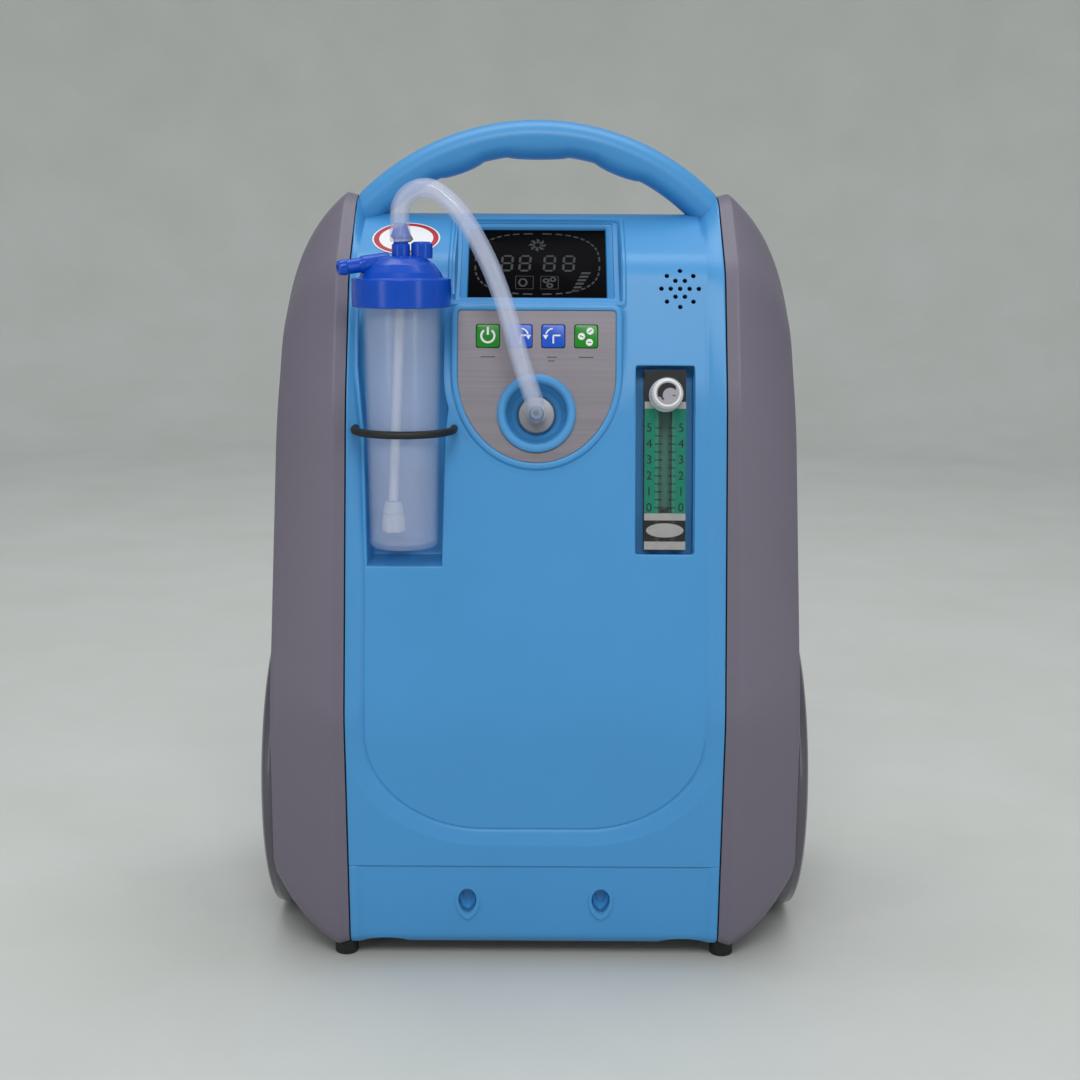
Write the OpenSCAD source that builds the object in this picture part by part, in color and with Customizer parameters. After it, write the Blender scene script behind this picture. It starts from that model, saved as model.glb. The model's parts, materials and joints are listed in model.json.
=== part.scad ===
/* [Casing] */
// Width of the blue core between its two side seams
core_w = 236; // [230:1:240]
// Wall of the moulded covers
wall = 3; // [2.5:0.5:3.5]
// Gap left between neighbouring mouldings
gap = 0.4; // [0.3:0.1:0.6]
// Height of the seam between the front cover and the lower panel
low_seam_z = 67; // [60:1:75]
// Place of the seam between the front and rear covers, under the handle
mid_seam_y = 16; // [14:1:20]

/* [Wheels] */
// Radius of each wheel
wheel_r = 101; // [98:1:102]
// Distance of the wheels' outer faces from the middle
wheel_x = 176; // [175:1:178]
// Width of each tyre
tyre_w = 28; // [26:1:29]
// Place of the axles, front to back
axle_y = 9; // [6:1:12]
// Radius of each stub axle
axle_r = 6; // [5:0.5:7]

/* [Handle] */
// Outer radius of the handle's arch
arch_r = 169; // [166:1:172]
// Height of the top of the handle
arch_top = 534; // [532:1:536]
// Thickness of the handle, top to bottom
grip_h = 23; // [20:1:25]
// Depth of the handle, front to back
grip_d = 30; // [26:1:32]

/* [Console] */
// Lean of the control plate from upright, in degrees
plate_lean = 13; // [12:0.5:14]
// Half width of the control plate
plate_a = 49; // [47:0.5:50]
// Lean of the display from upright, in degrees
screen_lean = 46; // [45:0.5:47]
// Side of each square key
key_s = 14.2; // [13:0.1:15]
// Travel of each key
key_travel = 0.8; // [0.5:0.1:1]

/* [Flowmeter] */
// Lean of the front face and flowmeter from upright, in degrees
face_lean = 10.5; // [10:0.5:11]
// Distance of the flowmeter from the middle
flow_x = 79.9; // [79:0.1:81]
// Travel of the float from the lowest to the highest mark
float_travel = 49.5; // [48:0.5:50]

/* [Humidifier] */
// Bottle axis, left to right
bottle_x = -82; // [-83:0.5:-81]
// Bottle axis, front to back
bottle_y = -92; // [-93:0.5:-91.5]
// Height of the bottle's base
bottle_z = 270; // [268:1:272]
// Outside diameter of the connecting hose
hose_d = 11.6; // [11:0.1:12]

/* [Hidden] */
$fn = 64;
far = 400;
blue = [0.30, 0.58, 0.82];
grey = [0.42, 0.39, 0.45];
dark = [0.22, 0.21, 0.24];
royal = [0.10, 0.29, 0.78];
milky = [0.85, 0.88, 0.95, 0.6];
green = [0.04, 0.51, 0.08];
wheel_z = wheel_r;
half = core_w / 2;
key_xs = [-30.4, -10.1, 10.2, 30.6];
key_up = 24;
plate_b = 54.7;
plate_shoulder = 40;
plate_y = -76.4;
plate_z = 375;
cup_down = -24;
screen_y = -23;
screen_z = 441.7;
screen_w = 88;
screen_h = 61;
flow_y = -86.6;
flow_z = 323.5;
flow_w = 26;
flow_h = 112;
float_r = 2.4;
float_low = -32;
foot_y = -91;
hinge_z = 335;
door_w = 120;
door_h = 74;
door_r = 3;
rear_y = 117;
pull_x = 58;
pull_y = 100;
notch_z = 402;
fan_z = 105;
fan_y = 88;
lid_z = 417;
strap_x = -81.5;
strap_z = 342;

// Corners of the side outlines as [y, z, radius], the front being -y.
rim_line = [
    [-107.5, 12, 8], [-120.3, 165, 60], [-84, 360, 150], [-54, 437, 50],
    [2, 485, 40], [62, 485, 60], [120, 400, 90], [120, 12, 12]];
core_line = [
    [-104, 12, 8], [-116, 165, 150], [-80, 360, 150], [-52, 444, 30],
    [8, 474, 30], [60, 474, 50], [rear_y, 392, 90], [rear_y, 12, 12]];
mid_line = [
    [-100, 30, 14], [-112, 165, 150], [-76, 352, 130], [-47, 418, 50],
    [0, 452, 50], [62, 452, 60], [114, 392, 90], [114, 30, 16]];
edge_line = [
    [-94, 52, 20], [-106, 165, 150], [-70, 345, 120], [-42, 395, 50],
    [0, 424, 60], [62, 424, 60], [108, 370, 80], [108, 52, 20]];

// Centre line of the hose from the lid's nozzle to the outlet, as [x, y, z].
hose_route = [
    [-82, -92, 456], [-82.5, -92, 467], [-82, -92.5, 476], [-78, -93, 483], [-71, -94, 487],
    [-63, -95, 487], [-55, -96, 482], [-47, -98, 474], [-38, -100, 461], [-29, -102, 444],
    [-22, -104, 427], [-16, -106, 409], [-11, -107, 391], [-6, -106, 375], [-2, -102, 363],
    [0, -94, 354.5], [0, -80, 351]];

function flat(p) = [p[0], p[1]];
function unit(v) = v / norm(v);
function turn(a) = a > 180 ? a - 360 : a < -180 ? a + 360 : a;

// The arc of radius r that rounds corner p between its neighbours a and b.
function corner_arc(a, p, b, r) =
    let (u = unit(a - p), v = unit(b - p), bend = acos(u * v) / 2,
         c = p + unit(u + v) * r / sin(bend),
         s = p + u * r / tan(bend) - c,
         e = p + v * r / tan(bend) - c,
         a0 = atan2(s[1], s[0]),
         sweep = turn(atan2(e[1], e[0]) - a0),
         n = max(1, ceil(abs(sweep) / 7)))
    [for (i = [0:n]) c + r * [cos(a0 + sweep * i / n), sin(a0 + sweep * i / n)]];

function rounded(line) =
    let (n = len(line))
    [for (i = [0:n - 1])
        each corner_arc(flat(line[(i + n - 1) % n]), flat(line[i]), flat(line[(i + 1) % n]), line[i][2])];

// A convex corner line with every side moved inwards by d.
function inset(line, d) =
    let (n = len(line))
    [for (i = [0:n - 1])
        let (p = flat(line[i]), u = unit(flat(line[(i + n - 1) % n]) - p),
             v = unit(flat(line[(i + 1) % n]) - p), bend = acos(u * v) / 2,
             q = p + unit(u + v) * d / sin(bend))
        [q[0], q[1], max(line[i][2] - d, 1)]];

// A slab with a side outline, from x0 to x1.
module slab(line, x0, x1) {
    translate([x0, 0, 0])
        rotate([90, 0, 90])
            linear_extrude(x1 - x0)
                polygon(rounded(line));
}

// Turns +z into the outward normal of a face that leans back.
module on_face(x, y, z, lean) {
    translate([x, y, z])
        rotate([90 - lean, 0, 0])
            children();
}

module on_plate() {
    on_face(0, plate_y, plate_z, plate_lean)
        children();
}

module on_screen() {
    on_face(0, screen_y, screen_z, screen_lean)
        children();
}

module on_flow() {
    on_face(flow_x, flow_y, flow_z, face_lean)
        children();
}

module box(x, y, z) {
    translate([-x / 2, -y / 2, 0])
        cube([x, y, z]);
}

// A box with its four upright edges rounded.
module soft_box(x, y, z, r) {
    linear_extrude(z)
        polygon(rounded([
            [-x / 2, -y / 2, r], [x / 2, -y / 2, r], [x / 2, y / 2, r], [-x / 2, y / 2, r]]));
}

// The plate's outline: straight sides above, half an ellipse below.
function plate_outline(d) = concat(
    [[plate_a - d, plate_shoulder - d], [-plate_a + d, plate_shoulder - d]],
    [for (i = [0:32]) [-(plate_a - d) * cos(i * 180 / 32), -(plate_b - d) * sin(i * 180 / 32)]]);

module plate_prism(d, low, high) {
    translate([0, 0, low])
        linear_extrude(high - low)
            polygon(plate_outline(d));
}

// The panel's hollow: a U with a round foot, cut back to the core line.
module panel_hollow() {
    difference() {
        translate([0, 40, 0])
            rotate([90, 0, 0])
                linear_extrude(200)
                    polygon(concat(
                        [[108, far + 200], [-108, far + 200]],
                        [for (i = [0:24]) [-108 * cos(i * 180 / 24), 156 - 68 * sin(i * 180 / 24)]]));
        slab(core_line, -far, far);
    }
}

// The pocket's outline, wider towards the top for the lid.
function pocket_outline(d) = [
    [-104.4 - d, 258 - d], [-58.2 + d, 258 - d], [-56.5 + d, 340], [-51.5 + d, 380],
    [-51.5 + d, 500], [-111 - d, 500], [-111 - d, 380], [-106.8 - d, 340]];

module pocket(d, back) {
    translate([0, back, 0])
        rotate([90, 0, 0])
            linear_extrude(150)
                polygon(pocket_outline(d));
}

module shell_band() {
    difference() {
        slab(rim_line, -half + gap, half - gap);
        slab(inset(core_line, wall), -half - 1, half + 1);
    }
}

module speaker_holes() {
    on_face(89.4, -56, 427, 18)
        for (ring = [[0, 1], [5.9, 6], [11.7, 8]])
            for (i = [0:ring[1] - 1])
                rotate(i * 360 / ring[1])
                    translate([ring[0], 0, -20])
                        cylinder(r = 1.45, h = 40, $fn = 16);
}

module front_cover() {
    color(blue)
    difference() {
        union() {
            intersection() {
                difference() {
                    shell_band();
                    panel_hollow();
                }
                translate([-far, mid_seam_y - gap / 2 - far, low_seam_z + gap / 2])
                    cube([2 * far, far, 2 * far]);
            }
            intersection() {
                slab(core_line, -half + 12, half - 12);
                translate([-far, -far, 250])
                    cube([2 * far, far + 4, far]);
                union() {
                    pocket(2.5, -61.5);
                    on_flow()
                        translate([0, 0, -19.5])
                            box(41.4, 122, 60);
                    on_screen()
                        translate([0, 0, -6])
                            box(screen_w + 10, screen_h + 8, 60);
                }
            }
            on_plate()
                plate_prism(-4.2, -9, 1);
        }
        pocket(0, -64);
        on_flow() {
            translate([0, 0, -17])
                soft_box(36.4, 117, 60, 2);
            for (y = [-40, 40])
                translate([0, y, -30])
                    cylinder(r = 5.4, h = 20);
        }
        on_screen() {
            translate([0, 0, -20])
                box(screen_w - 2, screen_h - 2, 60);
            translate([0, 0, -20])
                box(screen_w + 1, screen_h + 1, 20);
        }
        translate([screen_w / 2 + 0.5, 0, 0])
            rotate([90, 0, -90])
                linear_extrude(screen_w + 1)
                    polygon([[46, 419.5], [75, 413], [75, 475], [2, 463]]);
        on_plate() {
            plate_prism(-0.3, -1.4, 10);
            translate([0, cup_down, -30])
                cylinder(r = 22.5, h = 60);
            for (x = key_xs)
                translate([x, key_up, -30])
                    box(key_s + 0.8, key_s + 0.8, 60);
        }
        speaker_holes();
        for (x = [-30.5, 30.5])
            translate([strap_x + x, -60, strap_z])
                rotate([90, 0, 0])
                    cylinder(r = 2.8, h = 60, $fn = 24);
    }
}

module lower_front_panel() {
    color(blue)
    difference() {
        intersection() {
            shell_band();
            translate([-far, -85 - far, 0])
                cube([2 * far, far, low_seam_z - gap / 2]);
        }
        for (x = [-42.5, 42.5])
            translate([x, -90, 43])
                rotate([90, 0, 0])
                    cylinder(r = 5.9, h = 60);
        for (x = [-95, 95])
            translate([x, -80, -12.5])
                rotate([90, 0, 0])
                    cylinder(r = 28, h = 60);
    }
}

module rear_cover() {
    color(blue)
    difference() {
        union() {
            intersection() {
                shell_band();
                translate([-far, mid_seam_y + gap / 2, 0])
                    cube([2 * far, far, far + 200]);
                translate([-far, -far, 16.4])
                    cube([2 * far, 2 * far, 2 * far]);
            }
            intersection() {
                slab(core_line, -half + 12, half - 12);
                translate([-81, 83, notch_z - 3])
                    cube([162, 60, 90]);
            }
        }
        difference() {
            translate([-104, 0, 40])
                cube([208, 200, 500]);
            slab(core_line, -far, far);
        }
        translate([-door_w / 2 - 0.6, 100, hinge_z - door_h - 1])
            cube([door_w + 1.2, 40, door_h + 5.5]);
        translate([0, 50, fan_z])
            rotate([-90, 0, 0])
                for (i = [-6:6])
                    translate([i * 11, 0, 0])
                        soft_box(6, 90, 100, 2);
        translate([83, 110, 48])
            box(29, 60, 36);
        translate([83, 100, 112])
            rotate([-90, 0, 0])
                cylinder(r = 6.4, h = 40);
        translate([-78, 86, notch_z])
            cube([156, 60, 90]);
        for (x = [-pull_x, pull_x])
            translate([x, pull_y, 300])
                cylinder(r = 7.6, h = 200);
    }
}

module base_tray() {
    color(dark)
    difference() {
        union() {
            translate([-half + gap, -84.6, 12])
                cube([core_w - 2 * gap, 199, 4]);
            for (x = [-90, 90])
                translate([x - 1.5, -80, 16])
                    cube([3, 170, 12]);
            for (x = [-70, 70], y = [-74, -12])
                translate([x, y, 16])
                    cylinder(r = 9, h = 3);
        }
        for (i = [-4:4])
            translate([i * 16 - 3, 30, 0])
                cube([6, 60, 30]);
    }
}

// The shell's form between the seam and the wheel face, moved in by d.
module shell_form(d) {
    hull() {
        slab(inset(rim_line, d), half + gap - 0.2 * d, half + gap + 0.1);
        slab(inset(rim_line, d - 2), half + 7.5, half + 7.6);
        slab(inset(mid_line, d), 153 - d, 153.1 - d);
        translate([169.5 - d, 0, 0])
            rotate([0, -1, 0])
                slab(inset(edge_line, d), -0.1, 0);
    }
}

// Drawn on +x and mirrored for the left side.
module side_shell() {
    difference() {
        union() {
            difference() {
                shell_form(0);
                shell_form(wall);
                slab(inset(rim_line, wall), half, half + 4);
            }
            intersection() {
                shell_form(0.2);
                translate([137, axle_y, wheel_z])
                    rotate([0, 90, 0])
                        cylinder(r = wheel_r + 6.5, h = 40, $fn = 128);
            }
        }
        translate([140, axle_y, wheel_z])
            rotate([0, 90, 0])
                cylinder(r = wheel_r + 4, h = 60, $fn = 128);
        translate([120, axle_y, wheel_z])
            rotate([0, 90, 0])
                cylinder(r = axle_r + 0.02, h = 40);
        translate([half + 6, foot_y, -1])
            cylinder(r = 2.8, h = 20, $fn = 32);
    }
}

module left_side_shell() {
    color(grey)
        mirror([1, 0, 0])
            side_shell();
}

module right_side_shell() {
    color(grey)
        side_shell();
}

module carry_handle() {
    color(blue)
    difference() {
        intersection() {
            translate([0, mid_seam_y, arch_top - arch_r])
                rotate([90, 0, 0])
                    rotate_extrude($fn = 160)
                        polygon([for (i = [0:23])
                            [arch_r - grip_h / 2 + grip_h / 2 * cos(i * 15), grip_d / 2 * sin(i * 15)]]);
            translate([-half + gap, -100, 474.2])
                cube([core_w - 2 * gap, 200, 100]);
        }
        for (s = [-1, 1])
            translate([s * 130 - 26, -100, 460])
                cube([52, 200, 25.3]);
    }
}

module display_window() {
    color([0.02, 0.02, 0.03])
        on_screen()
            translate([0, 0, -2])
                box(screen_w, screen_h, 2);
}

module display_board() {
    color([0.05, 0.3, 0.15])
        on_screen()
            difference() {
                translate([0, 0, -9])
                    box(screen_w - 4, screen_h - 4, 1.6);
                for (x = [-36, 36], y = [-24, 24])
                    translate([x, y, -20])
                        cylinder(r = 1.6, h = 30, $fn = 24);
            }
}

module control_plate() {
    color([0.60, 0.57, 0.60])
        on_plate()
            difference() {
                plate_prism(0, -1.2, 0);
                translate([0, cup_down, -5])
                    cylinder(r = 22.5, h = 10);
                for (x = key_xs)
                    translate([x, key_up, -5])
                        box(key_s + 0.8, key_s + 0.8, 10);
            }
}

// A key's cap, stem and collar, free to sink into the plate.
module key(x) {
    on_plate()
        translate([x, key_up, 0]) {
            translate([0, 0, -3])
                soft_box(key_s, key_s, 3.8, 1.6);
            translate([0, 0, -9.8 + key_travel])
                cylinder(r = 3, h = 7.3 - key_travel, $fn = 32);
        }
}

module power_key() {
    color(green)
        key(key_xs[0]);
}

module time_up_key() {
    color(royal)
        key(key_xs[1]);
}

module time_down_key() {
    color(royal)
        key(key_xs[2]);
}

module anion_key() {
    color(green)
        key(key_xs[3]);
}

module keypad_board() {
    color([0.05, 0.3, 0.15])
        on_plate()
            translate([0, key_up, -11.8])
                box(84, 18, 1.6);
}

module outlet_cup() {
    color(blue)
        on_plate()
            translate([0, cup_down, 0])
                rotate_extrude($fn = 96)
                    polygon([
                        [5.2, -15], [22.2, -15], [22.2, 0.02], [24.2, 0.02], [24.2, 1.6], [23, 2.6],
                        [20, 2.6], [18.8, 1.4], [18, -4], [12, -12], [5.2, -12]]);
}

module outlet_fitting() {
    color([0.75, 0.75, 0.78])
        on_plate()
            translate([0, cup_down, 0])
                rotate_extrude()
                    polygon([
                        [2, -24], [5, -24], [5, -12], [11, -12], [11, -9.5], [9, -8.6], [4.2, -8.6], [4.2, -5],
                        [4.9, -4], [3.6, 3], [2, 3]]);
}

module buzzer() {
    color([0.1, 0.1, 0.1])
        on_face(89.4, -50.5, 424, 18)
            translate([0, 0, -8])
                cylinder(r = 14, h = 8);
}

module flowmeter_body() {
    color([0.9, 0.95, 0.95, 0.4])
        on_flow()
            difference() {
                union() {
                    translate([0, 0, -15])
                        soft_box(flow_w, flow_h, 14, 1);
                    for (y = [-40, 40])
                        translate([0, y, -32])
                            cylinder(r = 5, h = 17.5);
                }
                translate([0, -44, -8])
                    rotate([-90, 0, 0])
                        cylinder(r = 3.2, h = float_travel + 26.5);
                translate([0, 40, -7])
                    cylinder(r = 3, h = 20);
                translate([0, 40, -33])
                    cylinder(r = 2, h = 22);
                translate([0, -40, -33])
                    cylinder(r = 2, h = 25);
            }
}

module flowmeter_scale() {
    color([0.11, 0.45, 0.37])
        on_flow()
            for (x = [-8.4, 8.4])
                translate([x, 0, -1])
                    box(8.8, 64, 0.3);
}

module flowmeter_float() {
    color([0.05, 0.05, 0.05])
        on_flow()
            translate([0, float_low, -8])
                rotate([-90, 0, 0])
                    translate([0, 0, -3])
                        cylinder(r = float_r, h = 6);
}

module flowmeter_knob() {
    color("white")
        on_flow()
            translate([0, 40, 0]) {
                difference() {
                    union() {
                        translate([0, 0, 0.4])
                            cylinder(r1 = 10.8, r2 = 9.6, h = 18);
                        for (i = [0:35])
                            rotate(i * 10)
                                translate([10.2, 0, 0.4])
                                    rotate(45)
                                        box(0.9, 0.9, 15);
                    }
                    translate([0, 0, 17.6])
                        cylinder(r = 6.4, h = 2);
                }
                translate([0, 0, -6.5])
                    cylinder(r = 2.94, h = 8);
            }
}

module humidifier_bottle() {
    color(milky)
        translate([bottle_x, bottle_y, bottle_z])
            rotate_extrude($fn = 96)
                polygon([
                    [0, 1.6], [12, 1.2], [17, 0], [19.6, 0], [21, 1.6], [23.3, 143], [23.3, 146.6], [26, 146.6],
                    [26, 149], [23.3, 149], [23.3, 160], [21.7, 160], [21.7, 143], [19.4, 3], [17, 2.2],
                    [0, 3.4]]);
}

module humidifier_lid() {
    color(royal)
    difference() {
        union() {
            translate([bottle_x, bottle_y, lid_z])
                rotate_extrude($fn = 96)
                    polygon([
                        [0, 30.5], [10, 30.5], [15, 29.4], [20, 26], [23.6, 21], [25.7, 17], [30, 17], [30, 0.2],
                        [26.4, 0.2], [26.4, 3], [24, 3.2], [24, 14], [21, 15], [18, 19.5], [10, 27], [0, 27.5]]);
            translate([bottle_x, bottle_y, lid_z + 28]) {
                cylinder(r = 5.5, h = 9.5);
                cylinder(r = 3.6, h = 22);
                translate([0, 0, 14])
                    cylinder(r1 = 6.2, r2 = 3.7, h = 7);
            }
            nozzle();
        }
        translate([bottle_x, bottle_y, lid_z + 22])
            cylinder(r = 2.2, h = 40);
        nozzle_bore();
    }
}

// The patient nozzle points left and a little forward.
module nozzle_axis() {
    translate([bottle_x - 12, bottle_y - 4, lid_z + 26.6])
        rotate([0, 0, 24])
            rotate([0, -97, 0])
                children();
}

module nozzle() {
    nozzle_axis() {
        translate([0, 0, -6])
            cylinder(r = 5.4, h = 19);
        cylinder(r = 4.4, h = 25);
        translate([0, 0, 25])
            cylinder(r1 = 4.4, r2 = 3.6, h = 2);
    }
}

module nozzle_bore() {
    nozzle_axis()
        translate([0, 0, -4])
            cylinder(r = 2, h = 40);
}

module filler_cap() {
    color(royal)
        translate([bottle_x + 12.5, bottle_y + 1, lid_z + 30.7]) {
            cylinder(r = 6.5, h = 7.6);
            cylinder(r = 5.2, h = 8.4);
        }
}

module dip_tube() {
    color(milky)
        translate([bottle_x - 6.4, bottle_y + 1, bottle_z + 28])
            rotate([0, 2.6, 0])
                difference() {
                    cylinder(r = 3, h = 141);
                    translate([0, 0, -1])
                        cylinder(r = 2, h = 150);
                }
}

module diffuser() {
    color(milky)
        translate([bottle_x - 6.4, bottle_y + 1, bottle_z + 9]) {
            cylinder(r = 6.8, h = 10, $fn = 32);
            translate([0, 0, 10])
                cylinder(r1 = 6.2, r2 = 4.8, h = 8.4);
        }
}

module bottle_strap() {
    color([0.05, 0.05, 0.05])
        translate([strap_x, -88, strap_z])
            rotate([0, 0, 180]) {
                rotate_extrude(angle = 180, $fn = 96)
                    translate([30.5, 0])
                        circle(r = 2.4, $fn = 24);
                for (x = [-30.5, 30.5])
                    translate([x, 0, 0])
                        rotate([90, 0, 0])
                            cylinder(r = 2.4, h = 18, $fn = 24);
            }
}

// Sweeps a closed tube along a list of points.
module tube(route, r, sides) {
    n = len(route);
    dirs = [for (i = [0:n - 1]) unit(route[min(i + 1, n - 1)] - route[max(i - 1, 0)])];
    rings = [for (i = [0:n - 1])
        let (u = unit(cross(dirs[i], [0.3, 1, 0.1])), v = cross(dirs[i], u))
        each [for (k = [0:sides - 1])
            route[i] + r * (u * cos(k * 360 / sides) + v * sin(k * 360 / sides))]];
    walls = [for (i = [0:n - 2], k = [0:sides - 1])
        let (a = i * sides + k, b = i * sides + (k + 1) % sides)
        each [[a, a + sides, b], [b, a + sides, b + sides]]];
    caps = [[for (k = [0:sides - 1]) k], [for (k = [sides - 1:-1:0]) (n - 1) * sides + k]];
    polyhedron(rings, concat(walls, caps));
}

module connecting_hose() {
    color(milky)
        tube(hose_route, hose_d / 2, 12);
}

module notice_label() {
    color("white")
        on_face(-84, -26, 457.15, 63.4)
            cylinder(r = 21.7, h = 0.3);
}

module front_feet() {
    color([0.06, 0.06, 0.06])
        for (s = [-1, 1])
            translate([s * (half + 4), foot_y, 0]) {
                cylinder(r = 7.5, h = 9.8);
                translate([s * 2, 0, 0])
                    cylinder(r = 2.5, h = 18, $fn = 32);
            }
}

module at_wheel(side) {
    translate([side * (wheel_x - tyre_w), axle_y, wheel_z])
        rotate([0, side * 90, 0])
            children();
}

module tyre(side) {
    at_wheel(side)
        rotate_extrude($fn = 160)
            polygon([
                [86, 3], [94, 0], [98, 1], [wheel_r, 5], [wheel_r, tyre_w - 6], [99, tyre_w - 1.5],
                [96, tyre_w], [90, tyre_w], [86, tyre_w - 3]]);
}

module wheel_hub(side) {
    at_wheel(side)
        difference() {
            union() {
                translate([0, 0, 5])
                    cylinder(r = 85.9, h = 16, $fn = 128);
                translate([0, 0, 1])
                    cylinder(r = 17, h = 24);
            }
            translate([0, 0, 9])
                difference() {
                    cylinder(r = 79, h = 20, $fn = 128);
                    cylinder(r = 24, h = 30);
                    for (i = [0:4])
                        rotate(i * 72)
                            translate([0, -9, -1])
                                cube([90, 18, 11]);
                }
            translate([0, 0, -1])
                cylinder(r = axle_r + 0.05, h = 30);
        }
}

module hub_cap(side) {
    at_wheel(side)
        translate([0, 0, 25.2])
            cylinder(r1 = 16.5, r2 = 14, h = 2.6);
}

module axle(side) {
    translate([side * 121, axle_y, wheel_z])
        rotate([0, side * 90, 0]) {
            cylinder(r = axle_r, h = wheel_x - tyre_w + 24.6 - 121);
            cylinder(r = 14, h = 15.8);
        }
}

module left_tyre() {
    color(dark)
        tyre(-1);
}

module right_tyre() {
    color(dark)
        tyre(1);
}

module left_wheel_hub() {
    color(grey)
        wheel_hub(-1);
}

module right_wheel_hub() {
    color(grey)
        wheel_hub(1);
}

module left_hub_cap() {
    color(dark)
        hub_cap(-1);
}

module right_hub_cap() {
    color(dark)
        hub_cap(1);
}

module left_axle() {
    color("silver")
        axle(-1);
}

module right_axle() {
    color("silver")
        axle(1);
}

module compressor() {
    color([0.35, 0.36, 0.38])
        translate([0, -43, 74]) {
            rotate([0, 90, 0])
                translate([0, 0, -41.5])
                    cylinder(r = 38, h = 83);
            for (s = [-1, 1])
                translate([s * 60 - 19, -24, -34])
                    cube([38, 48, 66]);
            for (s = [-1, 1])
                translate([s * 70 - 12, -42, -38])
                    cube([24, 84, 6]);
        }
}

module compressor_heads() {
    color("silver")
        for (s = [-1, 1])
            translate([s * 60, -43, 106.4]) {
                box(36, 56, 8);
                for (i = [0:5])
                    translate([0, 0, 8 + i * 4])
                        box(i % 2 == 0 ? 28 : 36, i % 2 == 0 ? 44 : 56, 4);
            }
}

module compressor_mounts() {
    color([0.1, 0.1, 0.1])
        for (x = [-70, 70], y = [-74, -12])
            translate([x, y, 19]) {
                cylinder(r = 8, h = 5);
                cylinder(r = 5, h = 16.8);
                translate([0, 0, 11])
                    cylinder(r = 8, h = 5.8);
            }
}

module sieve_beds() {
    color("silver")
        for (x = [-70, 0])
            translate([x, 44, 190]) {
                cylinder(r = 27, h = 190);
                translate([0, 0, -6])
                    cylinder(r = 30, h = 12);
                translate([0, 0, 184])
                    cylinder(r = 30, h = 12);
            }
}

module valve_block() {
    color([0.3, 0.3, 0.32])
        translate([-35, 44, 386.4]) {
            box(120, 40, 14);
            for (x = [-40, -14, 14, 40])
                translate([x, 0, 14])
                    cylinder(r = 9, h = 22);
        }
}

module product_tank() {
    color([0.8, 0.8, 0.82])
        translate([66, 44, 190]) {
            cylinder(r = 26, h = 170);
            translate([0, 0, 170])
                cylinder(r1 = 26, r2 = 12, h = 10);
        }
}

module cooling_coil() {
    color([0.72, 0.45, 0.2])
        for (i = [0:3])
            translate([0, 40, 158 + i * 7])
                rotate_extrude($fn = 64)
                    translate([32, 0])
                        circle(r = 3, $fn = 16);
}

module fan_frame() {
    color([0.1, 0.1, 0.1])
        translate([0, fan_y, fan_z])
            rotate([-90, 0, 0])
                difference() {
                    box(96, 96, 25);
                    translate([0, 0, 3])
                        cylinder(r = 44.5, h = 30, $fn = 96);
                    difference() {
                        translate([0, 0, -1])
                            cylinder(r = 44.5, h = 6, $fn = 96);
                        translate([0, 0, -2])
                            cylinder(r = 19, h = 8);
                        for (i = [0:3])
                            rotate(i * 90)
                                translate([0, -2.5, -2])
                                    cube([60, 5, 8]);
                    }
                    translate([0, 0, -2])
                        cylinder(r = 2.05, h = 12, $fn = 32);
                }
}

module fan_impeller() {
    color([0.15, 0.15, 0.15])
        translate([0, fan_y, fan_z])
            rotate([-90, 0, 0]) {
                translate([0, 0, 5.5])
                    cylinder(r = 18, h = 18);
                translate([0, 0, -0.5])
                    cylinder(r = 2, h = 8, $fn = 32);
                for (i = [0:6])
                    rotate(i * 360 / 7)
                        translate([16, -1.2, 7])
                            rotate([32, 0, 0])
                                cube([26, 2.4, 14]);
            }
}

module inner_hoses() {
    color([0.9, 0.85, 0.8]) {
        translate([-60, -43, 138.8])
            cylinder(r = 5, h = 80);
        translate([60, -43, 138.8])
            cylinder(r = 5, h = 80);
        translate([-60, -43, 218.8])
            rotate([0, 90, 0])
                cylinder(r = 5, h = 120);
    }
}

module control_board() {
    color([0.05, 0.3, 0.15])
        translate([-20, -20, 240]) {
            cube([110, 1.6, 120]);
            for (x = [12, 44, 76], z = [14, 60])
                translate([x, 1.6, z])
                    cube([22, 9, 30]);
        }
}

module power_supply() {
    color([0.7, 0.7, 0.72])
        translate([58, 28, 16.4])
            cube([28, 50, 100]);
}

module intake_muffler() {
    color([0.12, 0.12, 0.13])
        translate([-66, 52, 28])
            cylinder(r = 20, h = 110);
}

module filter_pad() {
    color([0.15, 0.15, 0.15])
        translate([-48, 98, hinge_z - door_h + 8])
            cube([96, 8, door_h - 16]);
}

module filter_door() {
    color(grey)
    difference() {
        union() {
            translate([-door_w / 2, rear_y - wall, hinge_z - door_h])
                cube([door_w, wall, door_h]);
            translate([-door_w / 2, rear_y - door_r, hinge_z])
                rotate([0, 90, 0])
                    cylinder(r = door_r, h = door_w);
        }
        for (i = [-5:5])
            translate([i * 9 - 2, 90, hinge_z - door_h + 12])
                cube([4, 60, door_h - 26]);
    }
}

module mains_inlet() {
    color([0.08, 0.08, 0.08])
        translate([83, 116.8, 66])
            rotate([90, 0, 0])
                difference() {
                    union() {
                        translate([0, 0, -1])
                            box(28, 35, 24);
                        translate([0, 0, -3.1])
                            soft_box(36, 43, 2.9, 2);
                    }
                    translate([0, 0, -4])
                        soft_box(20, 26, 20, 3);
                }
}

module reset_button() {
    color([0.75, 0.1, 0.1])
        translate([83, 106, 112])
            rotate([-90, 0, 0])
                cylinder(r = 6, h = 14);
}

module pull_tubes() {
    color("silver")
        for (x = [-pull_x, pull_x])
            translate([x, pull_y, 60])
                difference() {
                    cylinder(r = 7, h = 366.3);
                    translate([0, 0, -1])
                        cylinder(r = 5.6, h = 350);
                }
}

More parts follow.
